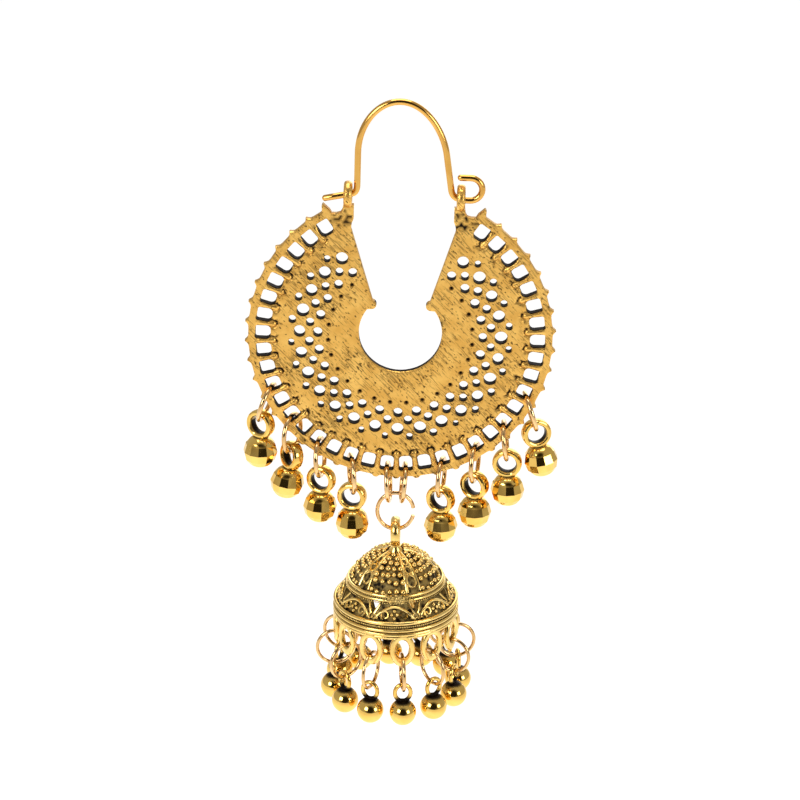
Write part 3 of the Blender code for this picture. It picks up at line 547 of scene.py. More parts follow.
def plate_outline():
    """Outline of the plate in mm: funnel, necks, horns, rim with its bumps, and keyhole."""
    key_radius, key_height = KEYHOLE_RADIUS * IN_MM, KEYHOLE_HEIGHT * IN_MM
    nib, gap, rim = NIB_RADIUS * IN_MM, NIB_HALF_GAP * IN_MM, RIM_RADIUS * IN_MM
    nib_height = key_height + sqrt(key_radius**2 - (gap + nib) ** 2)
    right = []
    for k in range(13):
        x, z = polar(nib, radians(265.0 - 165.0 * k / 12))
        right.append((gap + nib + x, nib_height + z))
    right += FUNNEL
    horn_angle = DOWN + OPENING_COUNT / 2 * OPENING_PITCH
    right += [polar(rim + height, horn_angle + turn * BUMP_TURN) for turn, height in HORN]
    round_rim = []
    for number in range(OPENING_COUNT - 1, 0, -1):
        middle = spoke_angle(number)
        half = ROUND_BUMP if sin(middle) < -0.72 else SHARP_BUMP
        bump = half + tuple((-turn, height) for turn, height in reversed(half))
        round_rim += [polar(rim + height, middle + turn * BUMP_TURN) for turn, height in bump]
    left = [(-x, z) for x, z in reversed(right)]
    start = atan2(nib_height - key_height, -gap) + radians(10.0)
    sweep = 2 * (DOWN - start)
    keyhole = [polar(key_radius, start + sweep * k / 60) for k in range(1, 60)]
    return right + round_rim + left + [(x, key_height + z) for x, z in keyhole]


def opening_loop(number):
    """One square opening with rounded inner corners, in mm."""
    angle = opening_angle(number)
    made = []
    for index, (r, t, round_to) in enumerate(OPENING_CORNERS):
        for k in range(5):
            out, side = polar(round_to, radians(90.0 * index + 90.0 * k / 4))
            radius = OPENING_RADIUS * IN_MM + (r - copysign(round_to, r) + out)
            side += t - copysign(round_to, t)
            made.append((radius * cos(angle) - side * sin(angle),
                         radius * sin(angle) + side * cos(angle) + OPENING_RISE * IN_MM))
    return made


def round_loops():
    """All round holes in mm, with the outermost row of small uneven ones."""
    loops = []
    for row_radius, diameter, count, sides in HOLE_ROWS:
        for k in range(count):
            u, v = polar(row_radius, DOWN + (k - (count - 1) / 2) * HOLE_PITCH)
            v += HOLE_RISE * IN_MM
            uneven = 0.06 if diameter > 1 else 0.14
            size = diameter / 2 * (1 + random.uniform(-uneven, uneven))
            flat, lean = 1 - random.uniform(0, uneven), random.uniform(0, pi)
            c, s = cos(lean), sin(lean)
            loop = []
            for j in range(sides):
                t = tau * j / sides
                x, y = size * cos(t), size * flat * sin(t)
                loop.append((u + x * c - y * s, v + x * s + y * c))
            loops.append(loop)
    return loops


def dimples():
    """Middles of the blind dimples."""
    turns = [(k - (DIMPLE_COUNT - 1) / 2) * HOLE_PITCH for k in range(DIMPLE_COUNT)]
    return [(x, y + HOLE_RISE * IN_MM) for x, y in (polar(DIMPLE_ROW, DOWN + turn) for turn in turns)]


def finer(loop, step):
    """A loop with its long sides divided."""
    made = []
    for k, (x, y) in enumerate(loop):
        nx, ny = loop[(k + 1) % len(loop)]
        parts = max(1, int(ceil(hypot(nx - x, ny - y) / step)))
        made += [(x + (nx - x) * j / parts, y + (ny - y) * j / parts) for j in range(parts)]
    return made


def inside(points, loops):
    """Even-odd test of many points against all loops."""
    x, y = points[:, 0], points[:, 1]
    result = np.zeros(len(points), bool)
    for loop in loops:
        for k, (ax, ay) in enumerate(loop):
            bx, by = loop[(k + 1) % len(loop)]
            if ay == by:
                continue
            crosses = (ay > y) != (by > y)
            result ^= crosses & (x < ax + (y - ay) * (bx - ax) / (by - ay))
    return result


def spoke_frame(number):
    """Unit vectors along and across one spoke."""
    angle = spoke_angle(number)
    return (cos(angle), sin(angle)), (-sin(angle), cos(angle))


def relief(u, v, pits):
    """Height of the front face and its darkening, from tongues, crescents, neck marks and dimples; the
    crescents hold patina and painted shade.
    """
    height, patina_and_shade = 0.0, 0.0
    v_ring = v - OPENING_RISE * IN_MM
    radius = hypot(u, v_ring)
    if 15.2 < radius < 19.6:
        turn = (atan2(v_ring, u) - DOWN) / OPENING_PITCH + OPENING_COUNT / 2
        number = round((turn + 0.5) % (tau / OPENING_PITCH) - 0.5)
        if 1 <= number <= OPENING_COUNT - 1:
            along, across = spoke_frame(number)
            r = u * along[0] + v_ring * along[1]
            t = u * across[0] + v_ring * across[1]
            reach = hypot(t, min(0.0, r - TONGUE_END))
            half = TONGUE_HALF if r < TONGUE_END + 0.3 else TONGUE_HALF - 0.03
            ragged = 0.2 * vector_noise.noise(Vector((u * 2.6, v * 2.6, 3.0)))
            if r < TONGUE_TIP and reach < half:
                height = TONGUE_HEIGHT * (1 - (reach / half) ** 3) * (1 - smooth_step(18.2, 19.0, r))
            elif r < TONGUE_END + 0.45 and reach < 1.05:
                ragged *= 1.8
                hollow = smooth_step(half, half + 0.1, reach)
                hollow *= 1 - smooth_step(0.5 + ragged, 0.72 + ragged, reach)
                height = -CRESCENT_DEPTH * hollow
                # Painted shade: the crescent hollows are darkened as patina and as the shade in the
                # recess, more on one side of each tongue.
                shaded_side = smooth_step(-0.3, 0.15, t * across[1] + min(0.0, r - TONGUE_END) * along[1])
                patina_and_shade = min(1.0, (1.5 + 5.0 * ragged) * hollow * (0.3 + 0.9 * shaded_side))
    if abs(u) > NECK_SIDE and v > NECK_FOOT and radius < 18.8:
        marks = vector_noise.noise(Vector((u * 2.1, v * 2.1, 9.0)))
        marks -= 0.6 * (1 - smooth_step(NECK_FOOT, NECK_FOOT + 1.2, v))
        if marks > 0.0:
            patina_and_shade = max(patina_and_shade, smooth_step(0.0, 0.16, marks))
            height -= 0.1 * smooth_step(0.0, 0.25, marks)
    for x, y in pits:
        reach = hypot(u - x, v - y)
        if reach < DIMPLE_RADIUS:
            hollow = 1 - smooth_step(0.16, 0.32, reach)
            height = -DIMPLE_DEPTH * hollow
            patina_and_shade = max(patina_and_shade, min(1.0, 1.3 * hollow))
    return height, patina_and_shade


def tree_of(points):
    """Search tree of flat points."""
    tree = kdtree.KDTree(len(points))
    for k, (x, y) in enumerate(points):
        tree.insert((x, y, 0), k)
    tree.balance()
    return tree


def plate_body():
    """The plate as two fine faces and the walls of all its edges, with its darkening: patina, and painted
    shade on the hole walls and along the lower edges of the holes.
    """
    loops = [finer(plate_outline(), 0.32)]
    loops += [finer(opening_loop(n), 0.3) for n in range(1, OPENING_COUNT + 1)]
    loops += round_loops()
    pits = dimples()
    border, edges = [], []
    for loop in loops:
        start = len(border)
        border += loop
        edges += [(start + k, start + (k + 1) % len(loop)) for k in range(len(loop))]
    samples = [finer(loop, SAMPLE_STEP) for loop in loops]
    rim_samples = len(samples[0])
    # Painted shade: the front face is darkened along the lower edge of each hole, where the hole's wall
    # shows.
    lower_edge_shade = [0.0] * rim_samples
    for loop, along_loop in zip(loops[1:], samples[1:]):
        middle = Vector((sum(x for x, _ in loop), sum(y for _, y in loop))) / len(loop)
        lower_edge_shade += [smooth_step(0.1, 0.6, (middle - Vector(p)).normalized().y) for p in along_loop]
    tree = tree_of([p for along_loop in samples for p in along_loop])

    def edge_drop(p):
        """How far an edge is rounded off, more on the rim than in the holes."""
        _, index, gap = tree.find((p.x, p.y, 0))
        size = RIM_ROUNDING if index < rim_samples else HOLE_ROUNDING
        return size * (1 - sqrt(1 - (1 - min(size, gap) / size) ** 2))

    wanted = []
    for loop in loops:
        for k, (x, y) in enumerate(loop):
            px, py = loop[k - 1]
            nx, ny = loop[(k + 1) % len(loop)]
            size = hypot(nx - px, ny - py) or 1.0
            ox, oy = -(ny - py) / size, (nx - px) / size
            for offset in (0.07, 0.16):
                for way in (1, -1):
                    wanted.append((x + way * ox * offset, y + way * oy * offset, 0.8 * offset))
    for number in range(1, OPENING_COUNT):
        along, across = spoke_frame(number)
        fine = [(16.0 + 0.24 * step, t) for step in range(14)
                for t in (-0.34, -0.27, -0.15, 0.0, 0.15, 0.27, 0.34)]
        fine += [(TONGUE_END + reach * cos(a), reach * sin(a))
                 for reach in (0.2, 0.34, 0.42, 0.5, 0.62, 0.78)
                 for a in (radians(90.0 + 180.0 * k / 8) for k in range(9))]
        for r, t in fine:
            x, y = r * along[0] + t * across[0], r * along[1] + t * across[1]
            wanted.append((x, y + OPENING_RISE * IN_MM, 0.07))
    for x, y in pits:
        wanted.append((x, y, 0.07))
        for reach in (0.16, 0.24, DIMPLE_RADIUS):
            wanted += [(x + reach * cos(a), y + reach * sin(a), 0.07)
                       for a in (tau * k / 10 for k in range(10))]
    for row in range(-50, 50):
        for column in range(-50, 50):
            wanted.append(((column + 0.5 * (row % 2)) * GRID_STEP, row * GRID_STEP * 0.87, 0.24))
    wanted = np.array(wanted)
    wanted = wanted[inside(wanted, loops)]
    kept = [(x, y) for x, y, gap in wanted if tree.find((x, y, 0))[2] >= gap]
    grid, thinned = {}, []
    for x, y in kept:
        cell = (round(x / THIN_CELL), round(y / THIN_CELL))
        near = [grid.get((cell[0] + i, cell[1] + j)) for i in (-1, 0, 1) for j in (-1, 0, 1)]
        if all(p is None or hypot(p[0] - x, p[1] - y) > 0.06 for p in near):
            grid[cell] = (x, y)
            thinned.append((x, y))
    flat = [Vector(p) for p in border + thinned]
    points, _, triangles, _, _, _ = delaunay_2d_cdt(flat, edges, [], 1, 1e-5)
    middles = [sum((points[i] for i in t), Vector((0.0, 0.0))) / 3 for t in triangles]
    keep = inside(np.array(middles), loops)
    triangles = [tuple(t) for t, good in zip(triangles, keep) if good]
    count = len(points)
    vertices, patina_and_shade = [], []
    for p in points:
        lift, dark = relief(p.x, p.y, pits)
        vertices.append(Vector((p.x, -HALF_PLATE * IN_MM + edge_drop(p) - lift, p.y)))
        _, index, gap = tree.find((p.x, p.y, 0))
        patina_and_shade.append(max(dark, lower_edge_shade[index] * (1 - smooth_step(0.08, 0.17, gap))))
    vertices += [Vector((p.x, HALF_PLATE * IN_MM - edge_drop(p), p.y)) for p in points]
    patina_and_shade += [0.0] * count
    faces = triangles + [tuple(count + i for i in reversed(t)) for t in triangles]
    used = dict.fromkeys(pair for a, b, c in triangles for pair in ((a, b), (b, c), (c, a)))
    outline_tree = tree_of(loops[0])
    for a, b in [pair for pair in used if (pair[1], pair[0]) not in used]:
        start = len(vertices)
        on_rim = outline_tree.find((points[a].x, points[a].y, 0))[2] < 0.2
        keyhole = hypot(points[a].x, points[a].y - KEYHOLE_HEIGHT * IN_MM) < 5.5
        # Walls are painted dark as patina and painted shade, those of the holes more than the outer
        # rim's.
        value = 0.4 if on_rim and not keyhole else 1.0
        vertices += [vertices[i] for i in (a, b, count + b, count + a)]
        patina_and_shade += [value] * 4
        faces.append((start + 1, start, start + 3, start + 2))
    scaled = [Vector((v.x * MM, v.y * MM, v.z * MM + PLATE_Z)) for v in vertices]
    return (scaled, faces), patina_and_shade


plate_parts = [plate_body()]
for side in (-1, 1):
    eyelet = flat_ring(EYELET_HOLE_RADIUS, EYELET_WALL, EYELET_DEPTH, 28, 14, 2.4)
    plate_parts.append((moved(eyelet, Matrix.Translation((side * EYELET_X, 0, EYELET_Z))), 0.0))
put("plate_cast", "plate", plate_parts, plate_gold, "plate", 35.0)


# Jump rings and plate drops

def jump_ring(outer, thickness):
    """Closed jump ring in the local YZ plane."""
    return tube(circle((outer - thickness) / 2, 40), thickness / 2, 14, closed=True)


def solder_line(body, level, inner, outer):
    """Patina round the top of a ball: full within one radius and gone at another."""
    return [1 - smooth_step(inner, outer, hypot(v.x, v.y)) if v.z > level else 0.0 for v in body[0]]


def hung(place, lean, turn):
    """Matrix of a piece that hangs at a place, leans to the right and is turned about its height."""
    return Matrix.Translation(place) @ Matrix.Rotation(-lean, 4, "Y") @ Matrix.Rotation(turn, 4, "Z")


def downwards(lean):
    """Direction down with a lean to the right."""
    return Vector((sin(lean), 0, -cos(lean)))


def drop_parts():
    """Ring bead and ball with its solder line; the origin is the bead's middle."""
    bead = flat_ring(BEAD_HOLE / 2, (BEAD_OUTER - BEAD_HOLE) / 2, BEAD_DEPTH, 44, 20, 2.9)
    bead = moved(bead, Matrix.Rotation(radians(90), 4, "Z"))
    # Painted shade with patina: the inside of the bead's hole is darkened, fully except near its top.
    dark = []
    for v in bead[0]:
        reach = hypot(v.x, v.z)
        inner = 1 - smooth_step(BEAD_HOLE / 2 + 0.02 * MM, BEAD_HOLE / 2 + 0.14 * MM, reach)
        dark.append(inner * (1.0 if v.z < 0.4 * MM else 0.55))
    drop = BEAD_OUTER / 2 + BALL_DIAMETER / 2 - BALL_FUSE
    sphere = moved(faceted_ball(BALL_DIAMETER / 2), Matrix.Translation((0, 0, -drop)))
    return (bead, dark), (sphere, solder_line(sphere, -drop, 0.85 * MM, 1.15 * MM))


link_radius = (LINK_OUTER - LINK_WIRE) / 2
for order, (number, link_lean, drop_lean, bead_turn, link_turn) in enumerate(PLATE_DROPS, start=1):
    top = opening_middle(number) - Vector((0, 0, LINK_SEAT_DROP))
    if order in (1, len(PLATE_DROPS)):
        top.x += copysign(LINK_SEAT_SHIFT, top.x)
    down, hang = downwards(radians(link_lean)), downwards(radians(drop_lean))
    place = hung(top + down * link_radius, radians(link_lean), radians(link_turn))
    link = moved(jump_ring(LINK_OUTER, LINK_WIRE), place)
    put(f"plate_ring_{order}", "plate", [(link, 0.0)], link_gold, f"plate_link_{order}")
    middle = top + down * (2 * link_radius) + hang * (BEAD_HOLE / 2 - LINK_WIRE / 2 - SEAT_GAP)
    place = hung(middle, radians(drop_lean), radians(bead_turn))
    parts = [(moved(part, place), value) for part, value in drop_parts()]
    put(f"plate_ball_{order}", "plate", parts, ball_gold, f"plate_drop_{order}", 19.0)


# Hanger links and the large open ring

def hanger_foot():
    """Offset from the top to the bottom wire centre of the left hanger."""
    length = LINK_OUTER - LINK_WIRE
    return Vector((length * sin(HANGER_LEAN), 0, -length * cos(HANGER_LEAN)))


def hanger_top(side):
    """Centre of a hanger's top wire."""
    return opening_middle((OPENING_COUNT + 1) / 2 + side / 2) - Vector((0, 0, LINK_SEAT_DROP))


def ring_middle():
    """Middle of the large ring."""
    foot = hanger_top(-1) + hanger_foot()
    seat = foot.z + LINK_WIRE / 2 + SEAT_GAP + RING_WIRE / 2 + RING_EASE
    share = (abs(foot.x) + RING_SHIFT) / RING_HALF_WIDTH
    return Vector((RING_SHIFT, 0, seat - RING_HALF_HEIGHT * sqrt(1 - share**2)))


for side, name in ((-1, "left"), (1, "right")):
    foot = hanger_foot()
    middle = hanger_top(side) + Vector((-side * foot.x, 0, foot.z)) / 2
    place = hung(middle, -HANGER_LEAN * side, HANGER_TURN * side)
    link = moved(jump_ring(LINK_OUTER, LINK_WIRE), place)
    put(f"hanger_ring_{name}", "plate", [(link, 0.0)], link_gold, f"hanger_link_{name}")
half_gap = (RING_GAP / 2 + RING_WIRE / 2) / RING_HALF_WIDTH
arc = circle(RING_HALF_WIDTH, 56, first=half_gap, sweep=tau - 2 * half_gap)
arc = [Vector((p.x, p.y, p.z * RING_HALF_HEIGHT / RING_HALF_WIDTH)) for p in arc]
place = Matrix.Translation(ring_middle()) @ Matrix.Rotation(radians(-90), 4, "Z")
ring = moved(tube(arc, RING_WIRE / 2, 14), place)
put("ring_open", "ring", [(ring, 0.0)], link_gold, "ring_link")


# Bell

# Rings of a narrow panel: distance from the axis, half width, half height, wire and lift, in mm
DOME_RINGS = ((2.75, 0.3, 0.5, 0.12, 0.06), (3.9, 0.44, 0.42, 0.14, 0.07), (5.0, 0.6, 0.52, 0.16, 0.08))
EYE_HOLE_AT = 4.9 * MM
EYE_HOLE_RADIUS = 0.375 * MM
# Three-cornered opening of the band, in mm
BAND_OPENING = ((-0.65, 0.0), (0.65, 0.0), (0.55, -0.35), (0.1, -1.1), (-0.1, -1.1), (-0.55, -0.35))
# Granules of the band: turn from the middle of an arch, or between two, and height over its foot in mm
ARCH_GRAINS = ((0.0, 1.2), (0.0, 0.36), (-0.048, 0.8), (0.048, 0.8))
BETWEEN_GRAINS = ((0.0, 0.28), (-0.055, 0.62), (0.055, 0.62))
# Mouldings under the band: inset from the bell's radius, drop and thickness in mm
MOULDINGS = ((0.3, 0.22, 0.27), (0.22, 1.25, 0.24), (0.26, 1.86, 0.27), (0.3, 2.26, 0.27))
CORD_GRAINS = 132
MILGRAIN = 180
CASTING_GRAINS = 110
FINE = (6, 4)

pivot = ring_middle() + Vector((RING_HALF_WIDTH * sin(HANG_LEAN), 0, -RING_HALF_HEIGHT))
plumb = Matrix.Translation(pivot) @ Matrix.Rotation(-HANG_LEAN, 4, "Y") @ Matrix.Translation(-pivot)
bail_middle = pivot + Vector((0, 0, RING_WIRE / 2 + SEAT_GAP - BAIL_HOLE_RADIUS))
top = bail_middle - Vector((0, 0, BAIL_TO_DOME))


def dome_height(radius):
    """Height of the dome's outer skin at a radius, below its top."""
    return -(DOME_RADIUS - sqrt(DOME_RADIUS**2 - radius**2))


def band_radius(drop):
    """Outer radius of the pierced band at a distance below the top of the dome."""
    start = CORD_DROP + CORD_WIDTH / 2
    share = max(0.0, (drop - start) / (FOOT_DROP - start))
    return CORD_RADIUS + (FOOT_RADIUS - CORD_RADIUS) * (1 - (1 - min(1.0, share)) ** 1.4)


def direction(angle):
    """Horizontal direction at an angle from the front, positive to the right."""
    return Vector((sin(angle), -cos(angle), 0))


def about(angle, radius, drop):
    """Point about the bell's axis, at a distance below the top of the dome."""
    return top + direction(angle) * radius - Vector((0, 0, drop))


def on_dome(angle, radius, lift=0.0):
    """Point on the dome's skin."""
    slope = asin(radius / DOME_RADIUS)
    outward = direction(angle) * sin(slope) + Vector((0, 0, cos(slope)))
    return top + direction(angle) * radius + Vector((0, 0, dome_height(radius))) + outward * lift


def on_band(angle, drop, lift=0.0):
    """Point on the band's skin."""
    return about(angle, band_radius(drop) - 0.12 * MM + lift, drop)


def hoop(radius, drop, thickness, segments=120, sides=8):
    """Round moulding about the bell's axis."""
    path = [about(tau * k / segments, radius, drop) for k in range(segments)]
    return tube(path, thickness, sides, closed=True), 0.0


def granule(point, size, patina_and_shade=0.0, around=7, rings=5):
    """One granule with its patina."""
    return moved(ball(size, around, rings), Matrix.Translation(point)), patina_and_shade


def small_ring(angle, level, width, height, thickness, lift):
    """Small wire ring lying on the dome; width is half of it across, height half of it along the skin."""
    path = []
    for k in range(18):
        a = tau * k / 18
        here = level + height * sin(a)
        path.append(on_dome(angle + width * cos(a) / here, here, lift))
    return tube(path, thickness, 7, closed=True), 0.0


def scroll(angle, drop, hand, size, thickness):
    """C-scroll on the band, ending in a tight curl."""
    path, radii = [], []
    for k in range(22):
        share = k / 21
        a = radians(-60 + 430 * share)
        reach = size * (1 - 0.72 * share)
        here = drop - reach * sin(a)
        path.append(on_band(angle + hand * reach * cos(a) / band_radius(here), here, 0.07 * MM))
        radii.append(thickness * (1 - 0.25 * share))
    return tube(path, radii, 6), 0.0


def bell_skin():
    """The turned skin with its band openings and eye holes cut through."""
    outer = [(0.0, 0.0)]
    outer += [(r, dome_height(r)) for r in (DOME_EDGE_RADIUS * k / 12 for k in range(1, 13))]
    outer.append((CORD_RADIUS - 0.35 * MM, -CORD_DROP + CORD_WIDTH * 0.35))
    outer.append((CORD_RADIUS - 0.25 * MM, -CORD_DROP))
    band_top = CORD_DROP + CORD_WIDTH / 2
    for k in range(7):
        drop = band_top + (FOOT_DROP - band_top) * k / 6
        outer.append((band_radius(drop) - 0.15 * MM, -drop))
    outer.append((BELL_RADIUS - 0.4 * MM, -FOOT_DROP - 0.1 * MM))
    outer.append((BELL_RADIUS - 0.3 * MM, -RIM_DROP + 0.1 * MM))
    inner = [(BELL_RADIUS - DOME_WALL, -RIM_DROP), (FOOT_RADIUS - DOME_WALL, -FOOT_DROP),
             (CORD_RADIUS - DOME_WALL, -band_top)]
    for share in (0.85, 0.6, 0.3):
        inner.append((DOME_EDGE_RADIUS * share, dome_height(DOME_EDGE_RADIUS * share) - DOME_WALL))
    inner.append((0.0, -DOME_WALL))
    body = moved(turned(outer + inner, 96), Matrix.Translation(top))
    item = linked("skin", mesh_of("skin", *body))
    cutters = []
    for k in range(ARCH_COUNT):
        way = direction(tau * (k + 0.5) / ARCH_COUNT)
        across = Vector((0, 0, 1)).cross(way)
        upper = CORD_DROP + CORD_WIDTH / 2 + 0.15 * MM
        vertices = [top + across * u * MM + Vector((0, 0, v * MM - upper)) + way * depth
                    for depth in (CORD_RADIUS - 2 * DOME_WALL, BELL_RADIUS + DOME_WALL)
                    for u, v in BAND_OPENING]
        sides = len(BAND_OPENING)
        faces = [tuple(range(sides)), tuple(sides + i for i in reversed(range(sides)))]
        faces += [(i, sides + i, sides + (i + 1) % sides, (i + 1) % sides) for i in range(sides)]
        cutters.append((vertices, faces))
    for k in range(PANEL_COUNT):
        angle = PANEL_MIDDLE + tau * (k + 0.5) / PANEL_COUNT
        ends = [on_dome(angle, EYE_HOLE_AT, lift) for lift in (-2 * DOME_WALL, 2 * DOME_WALL)]
        cutters.append(tube(ends, EYE_HOLE_RADIUS, 14))
    cutter = linked("cutters", mesh_of("cutters", *joined(cutters)))
    modifier = item.modifiers.new("cut", "BOOLEAN")
    modifier.operation = "DIFFERENCE"
    modifier.object = cutter
    bpy.context.view_layer.update()
    made = bpy.data.meshes.new_from_object(item.evaluated_get(bpy.context.evaluated_depsgraph_get()))
    vertices = [v.co.copy() for v in made.vertices]
    faces = [tuple(p.vertices) for p in made.polygons]
    bpy.data.objects.remove(item)
    bpy.data.objects.remove(cutter)
    patina_and_shade = []
    for v in vertices:
        low = top.z - v.z
        skin = band_radius(low)
        if low <= CORD_DROP:
            skin = sqrt(max(0.0, DOME_RADIUS**2 - (DOME_RADIUS - low) ** 2))
        outside = hypot(v.x - top.x, v.y) > skin - 0.5 * MM
        patina_and_shade.append(1.0 if outside else 0.8)
    return (vertices, faces), patina_and_shade


def dome_parts():
    """Ribs, granules and rings on the dome."""
    parts = []
    for k in range(PANEL_COUNT):
        middle = PANEL_MIDDLE + tau * k / PANEL_COUNT
        for side in (-1, 1):
            edge = middle + side * PANEL_HALF_ANGLE
            path = [on_dome(edge, (1.1 + 4.7 * s / 16) * MM, 0.02 * MM) for s in range(17)]
            parts.append((tube(path, 0.25 * MM, 8), 0.0))
        row = 0
        radius = 1.55 * MM
        while radius < DOME_EDGE_RADIUS:
            width = 2 * (PANEL_HALF_ANGLE - 0.42 * MM / radius) * radius
            count = max(1, int(width / (0.8 * MM)) + 1)
            for j in range(count):
                share = 0.0 if count == 1 else (j + 0.25 * (row % 2)) / (count - 0.75) - 0.5
                angle = middle + share * width / radius + random.uniform(-0.08, 0.08) * MM / radius
                size = random.uniform(0.31, 0.42) * MM
                level = radius + random.uniform(-0.09, 0.09) * MM
                parts.append(granule(on_dome(angle, level, 0.08 * MM), size, 0.0, 10, 7))
            row += 1
            radius += 0.7 * MM
        narrow = middle + pi / PANEL_COUNT
        parts += [small_ring(narrow, *(size * MM for size in sizes)) for sizes in DOME_RINGS]
        parts.append(granule(on_dome(narrow, 2.0 * MM, 0.05 * MM), 0.2 * MM))
        for side in (-1, 1):
            parts.append(granule(on_dome(narrow + side * 0.07, 4.42 * MM, 0.05 * MM), 0.17 * MM))
    return parts


def band_parts():
    """Cords, milgrain, arches, scrolls, granules and mouldings."""
    groove = CORD_DROP + 0.02 * MM
    parts = [hoop(CORD_RADIUS - 0.2 * MM, groove - 0.24 * MM, 0.2 * MM),
             hoop(CORD_RADIUS + 0.02 * MM, groove + 0.27 * MM, 0.2 * MM)]

    def stud(angle, rise, lift, size):
        """A granule on the band, its height given over the band's foot, in mm."""
        parts.append(granule(on_band(angle, FOOT_DROP - rise * MM, lift * MM), size * MM))

    for k in range(CORD_GRAINS):
        angle = tau * k / CORD_GRAINS
        parts.append(granule(about(angle, CORD_RADIUS - 0.12 * MM, groove), 0.13 * MM, 0.35, *FINE))
        parts.append(granule(on_band(angle, CORD_DROP + 0.62 * MM, 0.04 * MM), 0.12 * MM, 0.2, *FINE))
    for k in range(ARCH_COUNT):
        middle = tau * k / ARCH_COUNT
        path = []
        for step in range(21):
            share = step / 20
            angle = middle + (share - 0.5) * 0.92 * tau / ARCH_COUNT
            drop = FOOT_DROP - 0.05 * MM - 1.62 * MM * sin(pi * share) ** 0.8
            path.append(on_band(angle, drop, 0.07 * MM))
        parts.append((tube(path, 0.2 * MM, 8), 0.0))
        for hand in (-1, 1):
            drop = FOOT_DROP - 0.66 * MM
            parts.append(scroll(middle + hand * 0.16, drop, hand, 0.66 * MM, 0.17 * MM))
            stud(middle + hand * 0.31, 0.3, 0.08, 0.21)
        for turn, rise in ARCH_GRAINS:
            stud(middle + turn, rise, 0.1, 0.25)
        between = middle + pi / ARCH_COUNT
        for turn, rise in BETWEEN_GRAINS:
            stud(between + turn, rise, 0.06, 0.17)
        for hand in (-1, 1):
            path = []
            for s in range(7):
                drop = FOOT_DROP - (0.75 + 1.15 * s / 6) * MM
                path.append(on_band(between + hand * (0.03 + 0.085 * s / 6), drop, 0.05 * MM))
            parts.append((tube(path, 0.13 * MM, 6), 0.0))
    for inset, drop, thickness in MOULDINGS:
        parts.append(hoop(BELL_RADIUS - inset * MM, FOOT_DROP + drop * MM, thickness * MM, 140, 10))
    for _ in range(CASTING_GRAINS):
        angle, drop = 0.05 + random.gauss(0, 0.11), CORD_DROP + random.gauss(0.15, 0.3) * MM
        reach = CORD_RADIUS + random.uniform(0.0, 0.14) * MM
        here = about(angle, reach, drop)
        parts.append(granule(here, random.uniform(0.12, 0.22) * MM, random.uniform(0.2, 0.8), *FINE))
    for k in range(MILGRAIN):
        here = about(tau * k / MILGRAIN, BELL_RADIUS - 0.26 * MM, FOOT_DROP + 0.74 * MM)
        parts.append(granule(here, 0.14 * MM, 0.25, *FINE))
    return parts


def lobe_angle(number):
    """Direction of a lobe."""
    return LOBE_PHASE + tau * number / LOBE_COUNT


def lobe_middle(number):
    """Middle of a lobe's hole."""
    return about(lobe_angle(number), LOBE_RADIUS, RIM_DROP - LOBE_FUSE + LOBE_HEIGHT / 2)


def lobe(number):
    """Oval ring under the rim with a rounded section and a thicker bottom."""
    way = direction(lobe_angle(number))
    across = Vector((0, 0, 1)).cross(way)
    middle = lobe_middle(number)
    vertices = []
    segments, sides = 36, 12
    for k in range(segments):
        c, s = polar(1.0, tau * k / segments)
        wall = (LOBE_HEIGHT - LOBE_HOLE_HEIGHT) * (1.25 if s < 0 else 1.0)
        for j in range(sides):
            t = tau * (j + 0.5) / sides
            reach = (1 + squared(cos(t), 0.8)) / 2
            wide = (LOBE_HOLE_WIDTH + (LOBE_WIDTH - LOBE_HOLE_WIDTH) * reach) / 2
            high = (LOBE_HOLE_HEIGHT + wall * reach) / 2
            depth = 0.4 * MM * squared(sin(t), 0.8)
            vertices.append(middle + across * (wide * c) + Vector((0, 0, high * s)) + way * depth)
    return vertices, [(a, d, c, b) for a, b, c, d in row_faces(segments, sides)]


bell_parts = [bell_skin()] + dome_parts() + band_parts()
bell_parts += [(lobe(number), 0.0) for number in range(LOBE_COUNT)]
stem_top = -(BAIL_HOLE_RADIUS + 0.5 * BAIL_WALL)
stem_foot = -BAIL_TO_DOME
stem_shape = [(0.0, stem_top), (0.66 * MM, stem_top), (0.6 * MM, stem_top - 0.45 * MM),
              (0.64 * MM, stem_foot + 0.5 * MM), (0.95 * MM, stem_foot + 0.05 * MM),
              (1.15 * MM, stem_foot - 0.3 * MM), (0.0, stem_foot - 0.4 * MM)]
bail = flat_ring(BAIL_HOLE_RADIUS, BAIL_WALL, BAIL_THICKNESS, 36, 16, 2.2)
for part in (turned(stem_shape, 24), bail):
    bell_parts.append((moved(part, Matrix.Translation(bail_middle)), 0.0))
bell_parts = [(moved(part, plumb), value) for part, value in bell_parts]
put("bell_cast", "bell", bell_parts, bell_gold, "bell", 45.0)


# Bell drops

def loop_path():
    """Wire loop on a bell drop, from the ball's middle, in the local XZ plane."""
    half = (LOOP_WIDTH - LOOP_WIRE) / 2
    crown = BELL_BALL + LOOP_HEIGHT - LOOP_WIRE / 2
    foot = BELL_BALL - 0.1 * MM
    middle, tall = (crown + foot) / 2, (crown - foot) / 2
    return [Vector((half * sin(tau * k / 30), 0, middle + tall * cos(tau * k / 30)))
            for k in range(30)]


